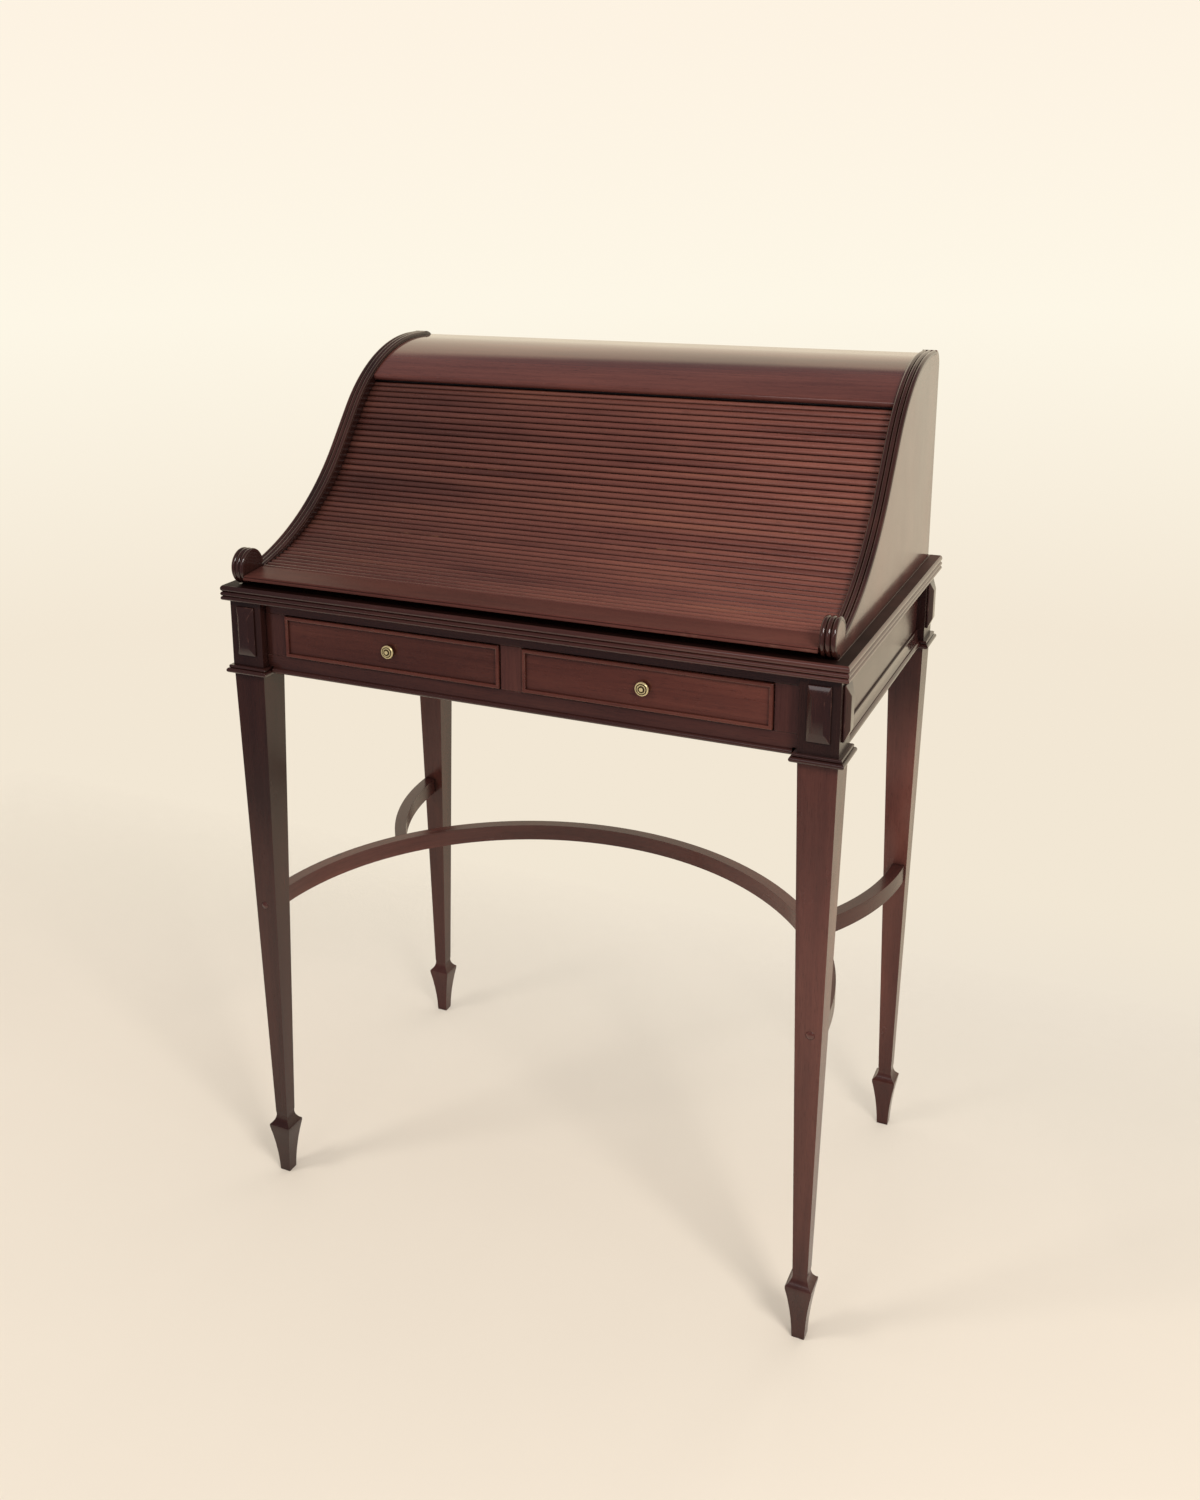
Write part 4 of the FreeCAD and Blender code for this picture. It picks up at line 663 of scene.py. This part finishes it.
def slat_tone(point):
    """Lighter to the right, painted light from that side, and darker on the lowest slats."""
    low = min(1.0, max(0.0, (LOW_SLATS_TOP - point[2] / MM) / LOW_SLATS_DEPTH))
    return SLAT_PAINTED_LIGHT(point, 0) * (1.0 - LOW_SLATS_LOSS * low)


draw = random.Random(SLAT_SEED)
for section in sorted(name for name in nodes if name.startswith("tambour_section_")):
    body = nodes[section]["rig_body"]
    bars = bmesh.new()
    backing = bmesh.new()
    tones = []
    rubbed = []
    caps = sorted(cap_outlines(section), key=lambda cap: span(cap[1]))
    for x, outline in caps[:-1]:
        rubbed += loft(bars, outline, -x, gentle_lift(draw), SLAT_STATIONS)
        tones.append(draw.uniform(-SLAT_TONE_SPREAD, SLAT_TONE_SPREAD))
    x, outline = caps[-1]
    loft(backing, outline, -x, lambda x: 0.0, 1)
    for bm in (bars, backing):
        bmesh.ops.recalc_face_normals(bm, faces=bm.faces[:])
    number = section[-2:]
    piece = dress(bars, "tambour_slats_" + number, SLATS, ALONG_X,
                  lambda point, slat: slat_tone(point) + tones[slat], rubbed)
    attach(piece, body)
    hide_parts(section)
    cloth = dress(backing, "tambour_canvas_" + number, CANVAS, ALONG_X)
    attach(cloth, body)
    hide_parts(section)
    span(outline)


# Lead rail: flat on top with a rounded back edge, a groove and a bead along its front

RAIL_STATIONS = 24
RAIL_THICKNESS = 5.0
BEAD_CENTRE = (35.3, -3.4)
BEAD_RADIUS = 1.6
BEAD_START, BEAD_SWEEP, BEAD_STEPS = 125, 215, 10
BACK_EDGE_FACES = range(3)
BEAD_FACES = range(9, 16)


def rail_profile():
    """Points as (forward along the slope, up from it) in millimetres, round the bar from its back edge."""
    points = [(0.0, -1.1), (0.15, -0.55), (0.5, -0.15), (1.1, 0.0), (32.8, 0.0), (33.8, -0.2),
              (34.5, -0.75), (34.8, -1.4), (34.5, -1.8)]
    for step in range(BEAD_STEPS + 1):
        angle = math.radians(BEAD_START - BEAD_SWEEP * step / BEAD_STEPS)
        points.append((BEAD_CENTRE[0] + BEAD_RADIUS * math.cos(angle),
                       BEAD_CENTRE[1] + BEAD_RADIUS * math.sin(angle)))
    return points + [(0.0, -RAIL_THICKNESS)]


def make_lead_rail():
    """The rail with its bar made new, and its foot as in the CAD."""
    node = "tambour_lead_rail"
    bm = cad_copy(node)
    bar = max(islands(bm), key=lambda group: max(vertex.co.z for vertex in group))
    back = max(bar, key=lambda vertex: vertex.co.z).co.copy()
    reach = abs(back.x)
    slope = max((face for vertex in bar for face in vertex.link_faces if face.normal.z > 0.9),
                key=lambda face: face.calc_area()).normal.copy()
    forward = Vector((0.0, -slope.z, slope.y))
    bmesh.ops.delete(bm, geom=bar, context="VERTS")
    rings = []
    for step in range(RAIL_STATIONS + 1):
        x = -reach + 2 * reach * step / RAIL_STATIONS
        rings.append([bm.verts.new(Vector((x, back.y, back.z)) + (forward * ahead + slope * up) * MM)
                      for ahead, up in rail_profile()])
    rubbed = []
    for right, strip in zip(rings[1:], skin(bm, rings)):
        for i, face in enumerate(strip):
            if i in BACK_EDGE_FACES:
                face.material_index = 1
            if i in BEAD_FACES and right[i].co.x > 0.5 * reach:
                rubbed.append(face)
    bmesh.ops.recalc_face_normals(bm, faces=bm.faces[:])
    # Painted light on the rail, lighter to the right
    piece = dress(bm, node + "_shown", RAIL_WOOD, ALONG_X, painted_light_left_to_right(0.52, 0.72), rubbed)
    piece.data.materials.append(MOULDING_WOOD)
    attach(piece, nodes[node]["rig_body"])
    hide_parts(node)


make_lead_rail()


# Floor and light

FLOOR = (0.835, 0.757, 0.655)
FLOOR_DARK = tuple(c * 0.985 for c in FLOOR)
FLOOR_RADIUS = 2.4
FLOOR_SEGMENTS = 96
FLOOR_ROUGHNESS = 0.75
FLOOR_SHINE = 0.15
MOTTLE_RATE = (3.0, 3.0, 3.0)
FADE_DEPTH = (-0.05, 0.65)
FADE_REACH = (0.95, 1.7)
LEAST_FADE = 0.015
BACKDROP = [(0.250, (0.845, 0.760, 0.640)), (0.280, (0.885, 0.797, 0.657)), (0.36, (0.893, 0.800, 0.660)),
            (0.46, (0.988, 0.930, 0.795)), (0.55, (0.985, 0.895, 0.765))]
MIRRORED_TINT = (1.0, 0.965, 0.865)
MIRRORED_BEHIND = (-0.25, 0.10)
MIRRORED_BELOW = (0.64, 0.70)
ROOM = (0.190, 0.185, 0.205)
AMBIENT = (1.0, 0.965, 0.915, 1.0)
AMBIENT_STRENGTH = 0.66


def make_floor():
    """A pale floor that fades into the backdrop behind the desk and far from it.

    Fine noise spreads the fade, so that no line shows where the floor gives way."""
    bm = bmesh.new()
    bmesh.ops.create_circle(bm, cap_ends=True, segments=FLOOR_SEGMENTS, radius=FLOOR_RADIUS)
    mesh = bpy.data.meshes.new("floor")
    bm.to_mesh(mesh)
    bm.free()
    s = Shade("floor")
    place = s.add("TexCoord").outputs["Object"]
    far = s.add("VectorMath", {0: place}, operation="LENGTH").outputs["Value"]
    depth = s.add("SeparateXYZ", {0: place}).outputs["Y"]
    fade = s.math("MAXIMUM", s.remap(depth, *FADE_DEPTH), s.remap(far, *FADE_REACH))
    fade = s.math("MAXIMUM", fade, LEAST_FADE)
    grit = s.math("SUBTRACT", s.add("TexWhiteNoise", {"Vector": place}).outputs["Value"], 0.5)
    spread = s.math("MULTIPLY", s.math("MULTIPLY", fade, 2.0), s.math("SUBTRACT", 1.0, fade))
    fade = s.math("ADD", fade, s.math("MULTIPLY", grit, spread), True)
    mottle = s.noise(s.scaled(place, MOTTLE_RATE), 5.0)
    s.set(Base_Color=s.mix(s.remap(mottle, *NOISE_MIDDLE), FLOOR_DARK, FLOOR))
    s.set(Roughness=FLOOR_ROUGHNESS, Specular_IOR_Level=FLOOR_SHINE)
    clear = s.add("BsdfTransparent").outputs[0]
    edge = s.add("MixShader", {0: fade, 1: s.shader.outputs[0], 2: clear})
    s.tree.links.new(edge.outputs[0], s.tree.nodes["Material Output"].inputs["Surface"])
    mesh.materials.append(s.material)
    floor = bpy.data.objects.new("floor", mesh)
    scene.collection.objects.link(floor)


def make_world():
    """A cream backdrop, in reflections only low down behind the desk, with a dim room round the rest."""
    world = bpy.data.worlds.new("studio")
    scene.world = world
    world.use_nodes = True
    s = Nodes(world.node_tree)
    s.tree.nodes.clear()
    path = s.add("LightPath").outputs
    direction = s.add("TexCoord").outputs["Generated"]
    parts = s.add("SeparateXYZ", {0: direction}).outputs
    cream = s.ramp(s.remap(parts["Z"], -1.0, 1.0), BACKDROP)
    behind = s.remap(parts["Y"], *MIRRORED_BEHIND)
    low = s.remap(parts["Z"], *MIRRORED_BELOW, 1.0, 0.0)
    warm = s.mix(1.0, cream, MIRRORED_TINT, "MULTIPLY")
    mirrored = s.mix(s.math("MULTIPLY", behind, low), ROOM, warm)
    shown = s.mix(path["Is Glossy Ray"], cream, mirrored)
    seen = s.math("ADD", path["Is Camera Ray"], path["Is Glossy Ray"])
    seen = s.math("ADD", seen, path["Is Transmission Ray"], True)
    backdrop = s.add("Background", {"Color": shown, "Strength": 1.0}).outputs[0]
    ambient = s.add("Background", {"Color": AMBIENT, "Strength": AMBIENT_STRENGTH}).outputs[0]
    both = s.add("MixShader", {0: seen, 1: ambient, 2: backdrop}).outputs[0]
    s.add("OutputWorld", {"Surface": both})


def area_light(name, place, aim, size, power, colour, mirrored=True):
    """A soft light of a size in metres and a power in watts, which may stay out of reflections."""
    lamp = bpy.data.lights.new(name, "AREA")
    lamp.shape = "RECTANGLE"
    lamp.size, lamp.size_y = size
    lamp.energy = power
    lamp.color = colour
    light = bpy.data.objects.new(name, lamp)
    light.location = place
    light.rotation_euler = (Vector(aim) - Vector(place)).to_track_quat("-Z", "Y").to_euler()
    light.visible_camera = False
    light.visible_glossy = mirrored
    scene.collection.objects.link(light)


make_floor()
make_world()
DESK_MIDDLE, DESK_FRONT = (0.0, 0.0, 0.6), (0.0, 0.0, 0.7)
area_light("left_softbox", (-1.9, -2.0, 2.7), DESK_MIDDLE, (0.8, 0.8), 27.0, (1.0, 0.97, 0.92), False)
area_light("right_softbox", (1.8, -1.6, 2.3), DESK_MIDDLE, (0.8, 0.8), 41.0, (1.0, 0.96, 0.91))
area_light("back_softbox", (0.4, 2.3, 2.6), DESK_MIDDLE, (2.0, 1.4), 10.0, (1.0, 0.96, 0.90), False)
area_light("front_softbox", (-0.2, -2.2, 1.6), DESK_FRONT, (0.7, 0.5), 2.4, (1.0, 0.97, 0.95))


# Camera at the photograph's angle

CAMERA_RIGHT = Vector((0.9036863, 0.4281070, -0.0086887))
CAMERA_UP = Vector((-0.0954988, 0.2212847, 0.9705221))
CAMERA_BACK = Vector((0.4174100, -0.8762177, 0.2408557))
CAMERA_PLACE = Vector((0.637497, -1.475916, 1.171763))
camera_data = bpy.data.cameras.new("camera")
camera_data.sensor_width = 36.0
camera_data.lens = 34.966
camera_data.shift_x = 0.04
camera_data.shift_y = -0.13333
camera = bpy.data.objects.new("camera", camera_data)
turn = Matrix((CAMERA_RIGHT, CAMERA_UP, CAMERA_BACK)).transposed().to_4x4()
camera.matrix_world = Matrix.Translation(CAMERA_PLACE) @ turn
scene.collection.objects.link(camera)
scene.camera = camera
scene.view_settings.view_transform = "Standard"
